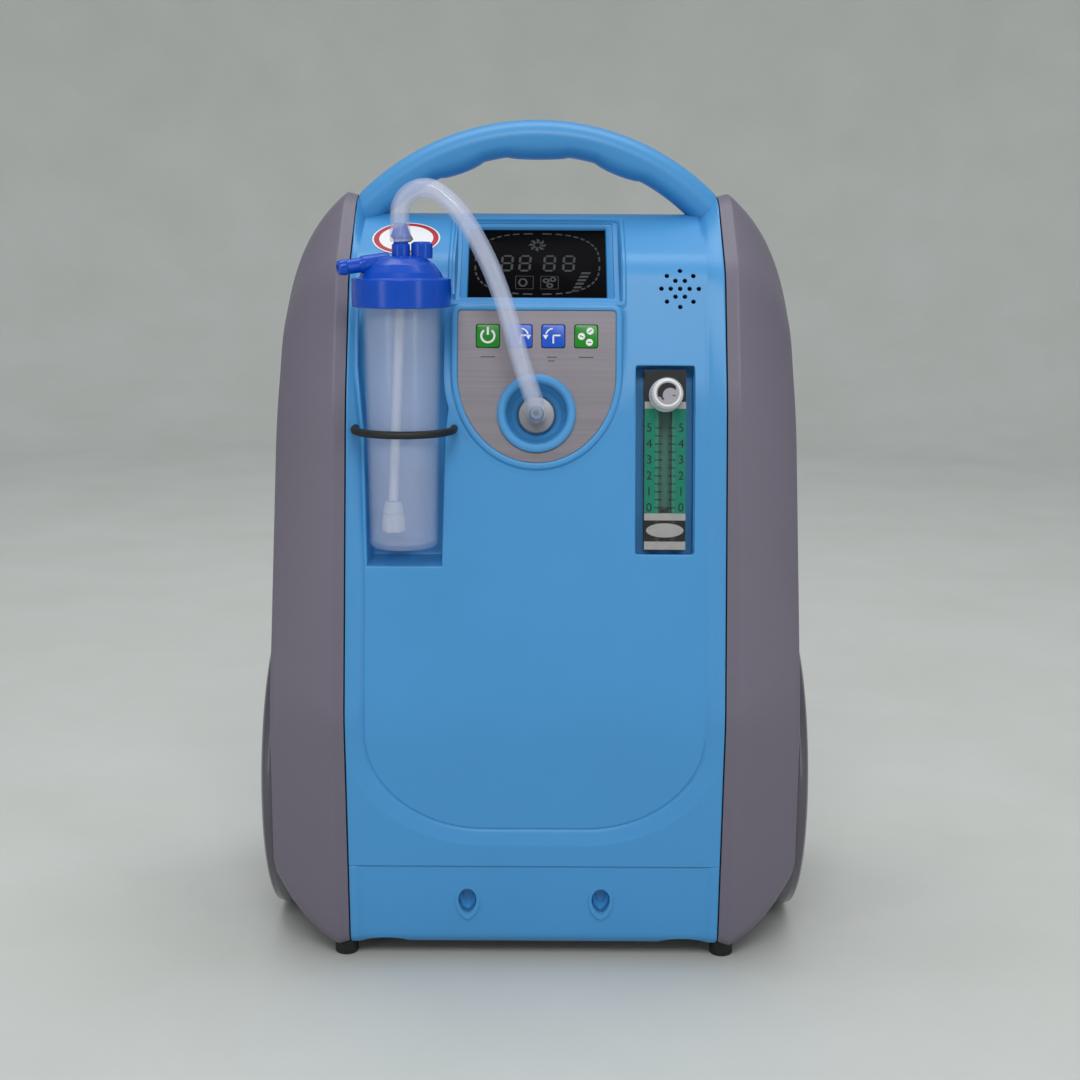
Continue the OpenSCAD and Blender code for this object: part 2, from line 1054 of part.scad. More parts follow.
module pull_sleeves() {
    color("silver")
        for (x = [-pull_x, pull_x])
            translate([x, pull_y, 50])
                difference() {
                    cylinder(r = 8.5, h = 338);
                    translate([0, 0, 3])
                        cylinder(r = 7.3, h = 400);
                }
}

module pull_grip() {
    color(dark)
        translate([0, pull_y, 426.3])
            rotate([0, 90, 0])
                translate([-10, 0, -72])
                    soft_box(20, 22, 144, 6);
}

front_cover();
lower_front_panel();
rear_cover();
base_tray();
left_side_shell();
right_side_shell();
carry_handle();
display_window();
display_board();
control_plate();
power_key();
time_up_key();
time_down_key();
anion_key();
keypad_board();
outlet_cup();
outlet_fitting();
buzzer();
flowmeter_body();
flowmeter_scale();
flowmeter_float();
flowmeter_knob();
humidifier_bottle();
humidifier_lid();
filler_cap();
dip_tube();
diffuser();
bottle_strap();
connecting_hose();
notice_label();
front_feet();
left_tyre();
left_wheel_hub();
left_hub_cap();
left_axle();
right_tyre();
right_wheel_hub();
right_hub_cap();
right_axle();
compressor();
compressor_heads();
compressor_mounts();
sieve_beds();
valve_block();
product_tank();
cooling_coil();
fan_frame();
fan_impeller();
inner_hoses();
control_board();
power_supply();
intake_muffler();
filter_pad();
filter_door();
mains_inlet();
reset_button();
pull_tubes();
pull_sleeves();
pull_grip();
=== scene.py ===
"""Looks of the oxygen concentrator, built around its CAD frame. Lengths are in millimetres unless noted."""
import json
import math

import bmesh
import bpy
import numpy as np
from mathutils import Matrix, Vector

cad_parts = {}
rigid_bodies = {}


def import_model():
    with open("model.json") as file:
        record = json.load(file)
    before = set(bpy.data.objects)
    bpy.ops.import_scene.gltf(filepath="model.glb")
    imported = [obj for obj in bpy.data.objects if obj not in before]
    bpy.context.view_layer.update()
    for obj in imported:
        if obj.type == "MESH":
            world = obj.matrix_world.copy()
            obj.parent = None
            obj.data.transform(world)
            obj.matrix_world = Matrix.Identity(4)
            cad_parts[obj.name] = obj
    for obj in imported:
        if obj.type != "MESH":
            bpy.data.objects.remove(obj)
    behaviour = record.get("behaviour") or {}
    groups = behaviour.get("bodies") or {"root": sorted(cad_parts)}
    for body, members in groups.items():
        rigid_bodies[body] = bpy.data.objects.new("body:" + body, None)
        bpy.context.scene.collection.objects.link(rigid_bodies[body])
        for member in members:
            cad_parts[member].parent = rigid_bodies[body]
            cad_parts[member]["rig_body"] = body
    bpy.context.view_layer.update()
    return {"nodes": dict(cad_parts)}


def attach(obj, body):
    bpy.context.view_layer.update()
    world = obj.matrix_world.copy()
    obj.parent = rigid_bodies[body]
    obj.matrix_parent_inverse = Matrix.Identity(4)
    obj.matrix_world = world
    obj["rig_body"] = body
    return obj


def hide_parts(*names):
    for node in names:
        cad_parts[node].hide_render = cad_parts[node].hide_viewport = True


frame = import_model()
NODES = frame["nodes"]
MM = 0.001
SCENE = bpy.context.scene
SCENE.view_settings.view_transform = "Standard"


# ---------------------------------------------------------------- shaders
class Val:
    """A shader socket that takes arithmetic."""

    def __init__(self, shade, socket):
        self.shade, self.socket = shade, socket

    def math(self, op, *others, flip=False):
        args = [self, *others]
        if flip:
            args.reverse()
        return self.shade.node("ShaderNodeMath", {"operation": op}, *args)

    def __add__(self, o):
        return self.math("ADD", o)

    def __radd__(self, o):
        return self.math("ADD", o, flip=True)

    def __sub__(self, o):
        return self.math("SUBTRACT", o)

    def __rsub__(self, o):
        return self.math("SUBTRACT", o, flip=True)

    def __mul__(self, o):
        return self.math("MULTIPLY", o)

    def __rmul__(self, o):
        return self.math("MULTIPLY", o, flip=True)

    def __truediv__(self, o):
        return self.math("DIVIDE", o)

    def __rtruediv__(self, o):
        return self.math("DIVIDE", o, flip=True)

    def __pow__(self, o):
        return self.math("POWER", o)

    def __rpow__(self, o):
        return self.math("POWER", o, flip=True)

    def __neg__(self):
        return self.math("MULTIPLY", -1.0)


class Shade:
    """One material and its node tree."""

    def __init__(self, name):
        self.material = bpy.data.materials.new(name)
        self.material.use_nodes = True
        self.tree = self.material.node_tree
        self.tree.nodes.clear()

    def node(self, kind, settings=None, *inputs, out=0, **named):
        made = self.tree.nodes.new(kind)
        for key, value in (settings or {}).items():
            setattr(made, key, value)
        pairs = list(enumerate(inputs)) + list(named.items())
        for key, value in pairs:
            socket = made.inputs[key if isinstance(key, int) else key.replace("_", " ")]
            if isinstance(value, Val):
                self.tree.links.new(value.socket, socket)
            elif value is not None:
                socket.default_value = value
        return Val(self, made.outputs[out]) if made.outputs else made

    def coords(self, scale=(1, 1, 1)):
        at = self.node("ShaderNodeTexCoord", out="Object")
        return self.node("ShaderNodeMapping", None, Vector=at, Scale=scale)

    def noise(self, scale, detail=2.0, stretch=(1, 1, 1)):
        return self.node("ShaderNodeTexNoise", None, Vector=self.coords(stretch), Scale=scale,
                         Detail=detail, Roughness=0.55)

    def finish(self, colour, rough, normal=None, **constants):
        surface = self.node("ShaderNodeBsdfPrincipled", None, **constants)
        inputs = surface.socket.node.inputs
        for name, value in (("Base Color", colour), ("Roughness", rough), ("Normal", normal)):
            if isinstance(value, Val):
                self.tree.links.new(value.socket, inputs[name])
            elif value is not None:
                inputs[name].default_value = value
        self.node("ShaderNodeOutputMaterial", None, Surface=surface)
        return self.material


def rgba(c, k=1.0):
    return (c[0] * k, c[1] * k, c[2] * k, 1.0)


def moulded(name, colour, rough=0.42, grain=900.0, depth=0.06, mottle=0.05, **constants):
    """Spark-textured plastic: fine even grain, faint tone shifts and handling sheen."""
    s = Shade(name)
    wide = s.noise(14.0, 3.0)
    mix = s.node("ShaderNodeMix", {"data_type": "RGBA"}, out=2)
    node = mix.socket.node
    s.tree.links.new(wide.socket, node.inputs[0])
    node.inputs[6].default_value = rgba(colour, 1 - mottle)
    node.inputs[7].default_value = rgba(colour, 1 + mottle)
    grains = s.noise(grain, 2.0)
    bump = s.node("ShaderNodeBump", None, Strength=depth, Distance=0.0004, Height=grains)
    return s.finish(mix, rough + (wide - 0.5) * 0.08, bump, **constants)


def smooth(name, colour, rough=0.2, **constants):
    """Polished or plain surface with only a trace of unevenness."""
    s = Shade(name)
    film = s.noise(60.0, 2.0)
    bump = s.node("ShaderNodeBump", None, Strength=0.02, Distance=0.0005, Height=film)
    return s.finish(rgba(colour), rough + (film - 0.5) * 0.06, bump, **constants)


def streaked(name, colour, stretch, rough=0.34, contrast=0.28, metallic=1.0):
    """Brushed metal; stretch is small along the brushing."""
    s = Shade(name)
    fine = s.noise(1.0, 4.0, stretch)
    broad = s.noise(0.22, 3.0, stretch)
    tone = (fine * 0.5 + broad * 0.5 - 0.5) * contrast * 4.0 + 0.5
    mix = s.node("ShaderNodeMix", {"data_type": "RGBA"}, out=2)
    node = mix.socket.node
    s.tree.links.new(tone.socket, node.inputs[0])
    node.inputs[6].default_value = rgba(colour, 0.72)
    node.inputs[7].default_value = rgba(colour, 1.18)
    bump = s.node("ShaderNodeBump", None, Strength=0.12, Distance=0.0002, Height=fine)
    return s.finish(mix, rough + (fine - 0.5) * 0.2, bump, Metallic=metallic)


BLUE = moulded("blue_moulding", (0.060, 0.285, 0.600), 0.38, Specular_IOR_Level=0.4)
GREY = moulded("grey_moulding", (0.145, 0.128, 0.172), 0.46, depth=0.08)
DARK = moulded("dark_moulding", (0.020, 0.020, 0.022), 0.45)
TYRE = smooth("tyre_gloss", (0.082, 0.074, 0.098), 0.24, Coat_Weight=0.3, Coat_Roughness=0.12)
RUBBER = moulded("black_rubber", (0.006, 0.006, 0.006), 0.55, grain=500.0)
GLASS = smooth("window_black", (0.0015, 0.0015, 0.002), 0.3, Specular_IOR_Level=0.02)
GRAPHIC = smooth("unlit_segment", (0.045, 0.045, 0.050), 0.4, Specular_IOR_Level=0.1)
PLATE = streaked("brushed_plate", (0.22, 0.20, 0.225), (14.0, 1300.0, 1300.0), 0.42, 0.34, 0.6)
STEEL = streaked("drawn_steel", (0.55, 0.55, 0.57), (600.0, 600.0, 30.0))
ALLOY = streaked("satin_alloy", (0.60, 0.61, 0.63), (300.0, 300.0, 300.0), contrast=0.12)
FITTING = streaked("fitting_satin", (0.30, 0.30, 0.33), (400.0, 400.0, 400.0), 0.42, 0.12, 0.8)
CASTING = moulded("cast_iron", (0.075, 0.078, 0.085), 0.6, grain=350.0, depth=0.35, Metallic=0.6)
BOARD = moulded("board_green", (0.012, 0.11, 0.05), 0.4)
GREEN = smooth("key_green", (0.006, 0.235, 0.010), 0.3)
ROYAL_KEY = smooth("key_blue", (0.005, 0.085, 0.58), 0.3)
WHITE = smooth("print_white", (0.80, 0.80, 0.80), 0.35)
RED = smooth("print_red", (0.42, 0.010, 0.018), 0.35)
INK = smooth("print_black", (0.008, 0.008, 0.010), 0.35)
KNOB = smooth("knob_white", (0.80, 0.80, 0.80), 0.38)
KNOB_FACE = smooth("knob_disc", (0.36, 0.33, 0.38), 0.4)
SCALE = smooth("scale_green", (0.012, 0.19, 0.125), 0.4, Specular_IOR_Level=0.2)
SILVER = streaked("scale_silver", (0.42, 0.41, 0.40), (200.0, 200.0, 200.0), 0.4, 0.1, 0.6)
ROYAL = smooth("lid_royal", (0.003, 0.068, 0.49), 0.22, Subsurface_Weight=0.15,
               Subsurface_Radius=(0.002, 0.004, 0.010), Subsurface_Scale=1.0, Specular_IOR_Level=0.35)
MILKY = smooth("milky_wall", (0.64, 0.72, 0.96), 0.16, Alpha=0.18, Coat_Weight=0.5)
MILKY_IN = smooth("milky_inner", (0.80, 0.86, 1.0), 0.3, Alpha=0.42)
HOSE = smooth("hose_clear", (0.68, 0.73, 0.90), 0.14, Alpha=0.30, Coat_Weight=0.5)
ACRYLIC = smooth("acrylic_clear", (0.50, 0.58, 0.58), 0.05, Alpha=0.05, Coat_Weight=0.4)
COPPER = streaked("copper_tube", (0.62, 0.26, 0.12), (250.0, 250.0, 250.0), 0.3, 0.1)
TANK = moulded("tank_white", (0.60, 0.60, 0.62), 0.5)
FOAM = moulded("filter_foam", (0.014, 0.014, 0.016), 0.9, grain=260.0, depth=0.9)
BUTTON = smooth("button_red", (0.45, 0.012, 0.012), 0.3)
RUBBER_HOSE = moulded("inner_rubber", (0.55, 0.50, 0.44), 0.5)


# ---------------------------------------------------------------- meshes
def piece(name, verts, faces, material, body="casing", replaces=(), slot=None, angle=32.0):
    """A closed mesh piece; verts in millimetres."""
    mesh = bpy.data.meshes.new(name)
    scaled = (np.asarray(verts, float) * MM).tolist()
    mesh.from_pydata(scaled, [], [tuple(int(i) for i in f) for f in faces])
    obj = bpy.data.objects.new(name, mesh)
    SCENE.collection.objects.link(obj)
    tidy(obj)
    return settle(obj, material, body, replaces, angle)


def tidy(obj, merge=0.00002):
    bm = bmesh.new()
    bm.from_mesh(obj.data)
    bmesh.ops.remove_doubles(bm, verts=bm.verts, dist=merge)
    bmesh.ops.dissolve_degenerate(bm, edges=bm.edges, dist=merge * 0.5)
    bmesh.ops.recalc_face_normals(bm, faces=bm.faces)
    bm.to_mesh(obj.data)
    bm.free()


def settle(obj, material, body="casing", replaces=(), angle=32.0):
    if material is not None:
        obj.data.materials.clear()
        obj.data.materials.append(material)
    obj.data.shade_smooth()
    obj.data.set_sharp_from_angle(angle=math.radians(angle))
    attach(obj, body)
    if replaces:
        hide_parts(*replaces)
    return obj


def apply_modifiers(obj):
    """Bakes the modifiers into the mesh."""
    graph = bpy.context.evaluated_depsgraph_get()
    made = bpy.data.meshes.new_from_object(obj.evaluated_get(graph))
    made.name = obj.name
    obj.modifiers.clear()
    old, obj.data = obj.data, made
    if old.users == 0:
        bpy.data.meshes.remove(old)
    return obj


def loose(name, verts, faces):
    """A scratch object, used as a cutter or joined into a piece."""
    mesh = bpy.data.meshes.new(name)
    mesh.from_pydata((np.asarray(verts, float) * MM).tolist(), [],
                     [tuple(int(i) for i in f) for f in faces])
    obj = bpy.data.objects.new(name, mesh)
    SCENE.collection.objects.link(obj)
    tidy(obj)
    return obj


def cut(obj, cutters, operation="DIFFERENCE"):
    """Cuts scratch solids out of obj and removes them."""
    for c in cutters:
        m = obj.modifiers.new("cut", "BOOLEAN")
        m.operation, m.solver, m.object = operation, "EXACT", c
    bpy.context.view_layer.update()
    apply_modifiers(obj)
    for c in cutters:
        bpy.data.objects.remove(c)
    return obj


def bevelled(obj, width, angle=35.0, segments=2):
    m = obj.modifiers.new("edge", "BEVEL")
    m.width, m.segments, m.limit_method = width * MM, segments, "ANGLE"
    m.angle_limit, m.harden_normals, m.use_clamp_overlap = math.radians(angle), False, True
    bpy.context.view_layer.update()
    return apply_modifiers(obj)


def shift(x, y, z):
    return Matrix.Translation((x, y, z))


def tilted(degrees, axis):
    return Matrix.Rotation(math.radians(degrees), 4, axis)


def on_face(x, y, z, lean):
    """The frame of a face that leans back: local x across, y up the face, z outward."""
    return shift(x, y, z) @ tilted(90 - lean, "X")


def place(verts, at):
    m = np.array(at)
    v = np.asarray(verts, float)
    return v @ m[:3, :3].T + m[:3, 3]


def skin(rows, count, loop=False, caps=True):
    """Faces between rows of points round a closed section; loop joins the last row to the first."""
    faces = [(i * count + k, i * count + (k + 1) % count,
              (i + 1) % rows * count + (k + 1) % count, (i + 1) % rows * count + k)
             for i in range(rows if loop else rows - 1) for k in range(count)]
    if caps and not loop:
        faces += [tuple(range(count))[::-1], tuple((rows - 1) * count + k for k in range(count))]
    return faces


def lathe(profile, count=96, at=Matrix.Identity(4), close=True):
    """Turns (radius, height) corners about local z. A closed profile joins its last corner to its first."""
    p = np.asarray(profile, float)
    turns = np.linspace(0, 2 * math.pi, count, endpoint=False)
    rings = [np.stack([r * np.cos(turns), r * np.sin(turns), np.full(count, h)], 1) for r, h in p]
    return place(np.concatenate(rings), at), skin(len(p), count, close)


def fillets(profile, radii, steps=5, closed=False):
    """Rounds the corners of a flat outline."""
    pts = [np.array(p, float) for p in profile]
    out = []
    n = len(pts)
    for i, p in enumerate(pts):
        r = radii[i] if hasattr(radii, "__len__") else radii
        if r <= 0 or (not closed and i in (0, n - 1)):
            out.append(p)
            continue
        a, b = pts[i - 1] - p, pts[(i + 1) % n] - p
        la, lb = np.linalg.norm(a), np.linalg.norm(b)
        u, v = a / la, b / lb
        bend = math.acos(max(-1, min(1, float(u @ v)))) / 2
        if bend > math.pi / 2 - 0.01:
            out.append(p)
            continue
        t = min(r / math.tan(bend), la * 0.49, lb * 0.49)
        s, e = p + u * t, p + v * t
        for k in range(steps + 1):
            f = k / steps
            out.append(s * (1 - f) ** 2 + 2 * p * f * (1 - f) + e * f ** 2)
    return np.array(out)


def prism(outline, low, high, at=Matrix.Identity(4), edge=0.0):
    """An outline pulled from low to high along local z, with a small rounded top edge."""
    o = np.asarray(outline, float)
    levels = [(0.0, low)]
    if edge > 0:
        for k in range(4):
            a = k / 3 * math.pi / 2
            levels.append((edge * (1 - math.cos(a)), high - edge + edge * math.sin(a)))
    else:
        levels.append((0.0, high))
    centre = o.mean(0)
    verts, n = [], len(o)
    step = np.roll(o, -1, 0) - np.roll(o, 1, 0)
    normal = np.stack([step[:, 1], -step[:, 0]], 1)
    normal /= np.linalg.norm(normal, axis=1)[:, None] + 1e-9
    flip = -1 if ((o - centre) * normal).sum() < 0 else 1
    for d, h in levels:
        ring = o - normal * flip * d
        verts.append(np.column_stack([ring, np.full(n, h)]))
    return place(np.concatenate(verts), at), skin(len(levels), n)


def box_outline(w, h, r=0.0, steps=4, x=0.0, y=0.0):
    corners = [(x - w / 2, y - h / 2), (x + w / 2, y - h / 2), (x + w / 2, y + h / 2),
               (x - w / 2, y + h / 2)]
    return fillets(corners, r, steps, True) if r else np.array(corners, float)


def ellipse(a, b, n=48, x=0.0, y=0.0):
    t = np.linspace(0, 2 * math.pi, n, endpoint=False)
    return np.column_stack([x + a * np.cos(t), y + b * np.sin(t)])


def ring_band(outline, widths_heights, at=Matrix.Identity(4)):
    """A closed ring along an outline: its section is a list of (outward offset, height)."""
    o = np.asarray(outline, float)
    n = len(o)
    step = np.roll(o, -1, 0) - np.roll(o, 1, 0)
    normal = np.stack([step[:, 1], -step[:, 0]], 1)
    normal /= np.linalg.norm(normal, axis=1)[:, None] + 1e-9
    if ((o - o.mean(0)) * normal).sum() < 0:
        normal = -normal
    rows = []
    for d, h in widths_heights:
        heights = h(o + normal * d) if callable(h) else np.full(n, float(h))
        rows.append(np.column_stack([o + normal * d, heights]))
    return place(np.concatenate(rows), at), skin(len(rows), n, True)


def joined(parts):
    """Several (verts, faces) as one."""
    verts, faces, base = [], [], 0
    for v, f in parts:
        verts.append(np.asarray(v, float))
        faces += [tuple(i + base for i in face) for face in f]
        base += len(v)
    return np.concatenate(verts), faces


def sweep(path, radius, sides=20):
    """A closed round tube along points; radius may vary along it."""
    p = np.asarray(path, float)
    n = len(p)
    tangents = np.gradient(p, axis=0)
    tangents /= np.linalg.norm(tangents, axis=1)[:, None]
    r = np.broadcast_to(np.asarray(radius, float), (n,))
    side = np.cross(tangents[0], [0.3, 1, 0.1])
    side /= np.linalg.norm(side)
    turns = np.linspace(0, 2 * math.pi, sides, endpoint=False)
    rows = []
    for i in range(n):
        side = side - tangents[i] * (side @ tangents[i])
        side /= np.linalg.norm(side)
        other = np.cross(tangents[i], side)
        rows.append(p[i] + r[i] * (np.outer(np.cos(turns), side) + np.outer(np.sin(turns), other)))
    return np.concatenate(rows), skin(n, sides)


def smooth_path(points, per=6):
    """A Catmull-Rom curve through points."""
    p = np.asarray(points, float)
    q = np.vstack([2 * p[0] - p[1], p, 2 * p[-1] - p[-2]])
    out = []
    for i in range(1, len(q) - 2):
        for k in range(per):
            t = k / per
            out.append(0.5 * ((2 * q[i]) + (q[i + 1] - q[i - 1]) * t
                              + (2 * q[i - 1] - 5 * q[i] + 4 * q[i + 1] - q[i + 2]) * t * t
                              + (3 * q[i] - q[i - 1] - 3 * q[i + 1] + q[i + 2]) * t ** 3))
    out.append(p[-1])
    return np.array(out)


def refined(node, material, width=0.6, angle=38.0, name=None, weld=0.00002):
    """A CAD part's own shape with softened edges and a finish."""
    source = NODES[node]
    obj = bpy.data.objects.new(name or node + "_finished", source.data.copy())
    SCENE.collection.objects.link(obj)
    bm = bmesh.new()
    bm.from_mesh(obj.data)
    bmesh.ops.remove_doubles(bm, verts=bm.verts, dist=weld)
    bmesh.ops.dissolve_limit(bm, angle_limit=math.radians(1.2), verts=bm.verts, edges=bm.edges)
    bm.to_mesh(obj.data)
    bm.free()
    if width > 0:
        bevelled(obj, width, angle)
    tidy(obj, 0.000005)
    return settle(obj, material, body_of(node), (node,))


def body_of(node):
    return NODES[node]["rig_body"]


# ---------------------------------------------------------------- patterns
def pattern(name, stamp, material, count, layout, **sizes):
    """Repeats a stamp with geometry nodes, round a circle or along a line, and returns the mesh made."""
    tree = bpy.data.node_groups.new(name, "GeometryNodeTree")
    face = tree.interface
    wanted = {"Geometry": "NodeSocketGeometry", "Stamp": "NodeSocketObject", "Count": "NodeSocketInt",
              "Radius": "NodeSocketFloat", "Step": "NodeSocketVector", "Material": "NodeSocketMaterial"}
    ids = {key: face.new_socket(name=key, in_out="INPUT", socket_type=kind).identifier
           for key, kind in wanted.items()}
    face.new_socket(name="Geometry", in_out="OUTPUT", socket_type="NodeSocketGeometry")
    new, link = tree.nodes.new, tree.links.new
    given, result = new("NodeGroupInput"), new("NodeGroupOutput")
    info, place_on = new("GeometryNodeObjectInfo"), new("GeometryNodeInstanceOnPoints")
    link(given.outputs["Stamp"], info.inputs["Object"])
    if layout == "ring":
        points = new("GeometryNodeMeshCircle")
        link(given.outputs["Count"], points.inputs["Vertices"])
        link(given.outputs["Radius"], points.inputs["Radius"])
        index, around = new("GeometryNodeInputIndex"), new("ShaderNodeCombineXYZ")
        turn, part = new("ShaderNodeMath"), new("ShaderNodeMath")
        part.operation, turn.operation = "DIVIDE", "MULTIPLY"
        link(index.outputs[0], part.inputs[0])
        link(given.outputs["Count"], part.inputs[1])
        link(part.outputs[0], turn.inputs[0])
        turn.inputs[1].default_value = 2 * math.pi
        link(turn.outputs[0], around.inputs["Z"])
        link(around.outputs[0], place_on.inputs["Rotation"])
    else:
        points = new("GeometryNodeMeshLine")
        points.mode = "OFFSET"
        link(given.outputs["Count"], points.inputs["Count"])
        link(given.outputs["Step"], points.inputs["Offset"])
    real, paint = new("GeometryNodeRealizeInstances"), new("GeometryNodeSetMaterial")
    link(points.outputs["Mesh"], place_on.inputs["Points"])
    link(info.outputs["Geometry"], place_on.inputs["Instance"])
    link(place_on.outputs["Instances"], real.inputs["Geometry"])
    link(real.outputs["Geometry"], paint.inputs["Geometry"])
    link(given.outputs["Material"], paint.inputs["Material"])
    link(paint.outputs["Geometry"], result.inputs[0])
    mesh = bpy.data.meshes.new(name)
    obj = bpy.data.objects.new(name, mesh)
    SCENE.collection.objects.link(obj)
    m = obj.modifiers.new("pattern", "NODES")
    m.node_group = tree
    m[ids["Stamp"]] = stamp
    m[ids["Count"]] = count
    m[ids["Radius"]] = sizes.get("radius", 0.0) * MM
    m[ids["Step"]] = [c * MM for c in sizes.get("step", (0, 0, 0))]
    m[ids["Material"]] = material
    bpy.context.view_layer.update()
    apply_modifiers(obj)
    bpy.data.objects.remove(stamp)
    return obj


def moved(obj, at):
    """Places a piece's mesh by a matrix whose translation is in millimetres."""
    m = at.copy()
    m.translation = m.translation * MM
    obj.data.transform(m)
    return obj


# ---------------------------------------------------------------- side outlines
RIM = [(-107.5, 12, 8), (-120.3, 165, 60), (-84, 360, 150), (-54, 437, 50),
       (2, 485, 40), (62, 485, 60), (120, 400, 90), (120, 12, 12)]
CORE = [(-104, 12, 8), (-116, 165, 150), (-80, 360, 150), (-52, 444, 30),
        (8, 474, 30), (60, 474, 50), (117, 392, 90), (117, 12, 12)]
MID = [(-100, 30, 14), (-112, 165, 150), (-76, 352, 130), (-47, 418, 50),
       (0, 452, 50), (62, 452, 60), (114, 392, 90), (114, 30, 16)]
EDGE = [(-94, 52, 20), (-106, 165, 150), (-70, 345, 120), (-42, 395, 50),
        (0, 424, 60), (62, 424, 60), (108, 370, 80), (108, 52, 20)]


def rounded(line, grow=0.0, steps=12, fill=8):
    """The outline as matched points: each corner's arc, then the straight run to the next."""
    pts = [np.array(c[:2], float) for c in line]
    n = len(pts)
    if grow:
        moved_pts = []
        for i in range(n):
            u = pts[i - 1] - pts[i]
            v = pts[(i + 1) % n] - pts[i]
            u, v = u / np.linalg.norm(u), v / np.linalg.norm(v)
            bend = math.acos(float(u @ v)) / 2
            moved_pts.append(pts[i] - (u + v) / np.linalg.norm(u + v) * grow / math.sin(bend))
        pts = moved_pts
    arcs = []
    for i in range(n):
        p, r = pts[i], max(line[i][2] + grow, 1)
        u = pts[i - 1] - p
        v = pts[(i + 1) % n] - p
        u, v = u / np.linalg.norm(u), v / np.linalg.norm(v)
        bend = math.acos(float(u @ v)) / 2
        c = p + (u + v) / np.linalg.norm(u + v) * r / math.sin(bend)
        s, e = p + u * r / math.tan(bend) - c, p + v * r / math.tan(bend) - c
        a0 = math.atan2(s[1], s[0])
        sweep_angle = (math.atan2(e[1], e[0]) - a0 + math.pi) % (2 * math.pi) - math.pi
        turns = [a0 + sweep_angle * k / steps for k in range(steps + 1)]
        arcs.append([c + r * np.array([math.cos(a), math.sin(a)]) for a in turns])
    out = []
    for i in range(n):
        out += arcs[i]
        s, e = arcs[i][-1], arcs[(i + 1) % n][0]
        out += [s + (e - s) * k / fill for k in range(1, fill)]
    return np.array(out)


HALF = 117.6
CREST_Y = 16.0


def side_run(line, front):
    """The outline from the front's low seam over to the crest's joint, or from there down the back."""
    p = rounded(line, 0, 24, 10)
    start = int(np.argmin(p[:, 1] + (p[:, 0] > 0) * 1e4))
    p = np.roll(p, -start, 0)
    top = int(np.argmax(p[:, 1] - np.abs(p[:, 0] - CREST_Y) * 1e-3))
    ahead = p[:top + 1]
    behind = p[top:]
    return ahead if front else behind


def height_to_y(line, front):
    p = side_run(line, front)
    order = np.argsort(p[:, 1])
    return p[order, 1], p[order, 0]


def lengths(p):
    return np.concatenate([[0], np.cumsum(np.linalg.norm(np.diff(p, axis=0), axis=1))])


class Side:
    """One half of a side outline, by height up to `turn`, then by share of the way over the crest."""

    def __init__(self, line, front, turn):
        self.heights, self.ys = height_to_y(line, front)
        p = rounded(line, 0, 24, 10)
        keep = p[p[:, 1] >= turn - 1e-6]
        y0 = np.interp(turn, self.heights, self.ys)
        if front:
            keep = keep[keep[:, 0] < CREST_Y]
            keep = keep[np.argsort(keep[:, 0])]
            self.over = np.vstack([[y0, turn], keep, [CREST_Y - 0.2, max(p[:, 1])]])
        else:
            keep = keep[keep[:, 0] > CREST_Y]
            keep = keep[np.argsort(-keep[:, 0])]
            self.over = np.vstack([[y0, turn], keep, [CREST_Y + 0.2, max(p[:, 1])]])
        self.run = lengths(self.over) / lengths(self.over)[-1]
        self.turn = turn

    def at(self, z, g):
        """(y, z) for rows by height z, or by share g where g >= 0."""
        y_low = np.interp(z, self.heights, self.ys)
        y = np.where(g >= 0, np.interp(g, self.run, self.over[:, 0]), y_low)
        zz = np.where(g >= 0, np.interp(g, self.run, self.over[:, 1]), z)
        return y, zz


def spread(guides, gap):
    """Sorted knots with the wide gaps filled evenly."""
    g = sorted(set(round(float(v), 4) for v in guides))
    out = [g[0]]
    for a, b in zip(g, g[1:]):
        n = max(1, int(math.ceil((b - a) / gap)))
        out += [a + (b - a) * k / n for k in range(1, n + 1)]
    return np.array(out)


BAND_IN = 105.6


def ease(t):
    t = np.clip(t, 0, 1)
    return t ** 2 * (3 - 2 * t)


# the U-shaped step: half its level bottom, then each line's corner height and two radii
STEP_FLAT = 32
STEP_OUTER = (152, 86, 71)
STEP_INNER = (154, 73.6, 62)


def beyond_corner(ax, z, corner):
    """How far a point lies outside a corner's ellipse, to first order."""
    height, a, b = corner
    x, y = np.clip(ax - STEP_FLAT, 0, None) / a, np.clip(height - z, 0, None) / b
    reach = np.sqrt(x ** 2 + y ** 2) + 1e-9
    return (reach - 1) / (np.sqrt((x / a) ** 2 + (y / b) ** 2) / reach + 1e-9)


def step_height(x, corner):
    """The height of one line of the step at x."""
    height, a, b = corner
    return height - b * math.sqrt(1 - min(max((abs(x) - STEP_FLAT) / a, 0), 1) ** 2)


def step_share(x, z, low, crease):
    """0 on the rim, 1 on the sunken panel; crease is the panel's half width there."""
    ax = np.abs(x)
    if low:
        out = np.minimum(-beyond_corner(ax, z, STEP_OUTER), 400)
        out = np.where(z >= STEP_OUTER[0], 118 - ax, out)
        out = np.where(ax < STEP_FLAT, z - 81, out)
        inn = np.where(z >= STEP_INNER[0], ax - crease, beyond_corner(ax, z, STEP_INNER))
        inn = np.where(ax < STEP_FLAT, 92 - z, inn)
    else:
        out, inn = 118 - ax, ax - crease
    share = np.where(inn <= 0, 1.0, np.where(out <= 0, 0.0, out / (np.abs(out) + np.abs(inn) + 1e-9)))
    a, b = 0.90, 0.05
    soft = np.where(share < a, share, share - (share - a) ** 2 / (2 * (1 - a)))
    soft = np.where(share < b, share ** 2 / (2 * b), soft - b / 2)
    return soft / (1 - (1 - a) / 2 - b / 2) + 0.22 * np.exp(-((share - 0.93) / 0.055) ** 2)


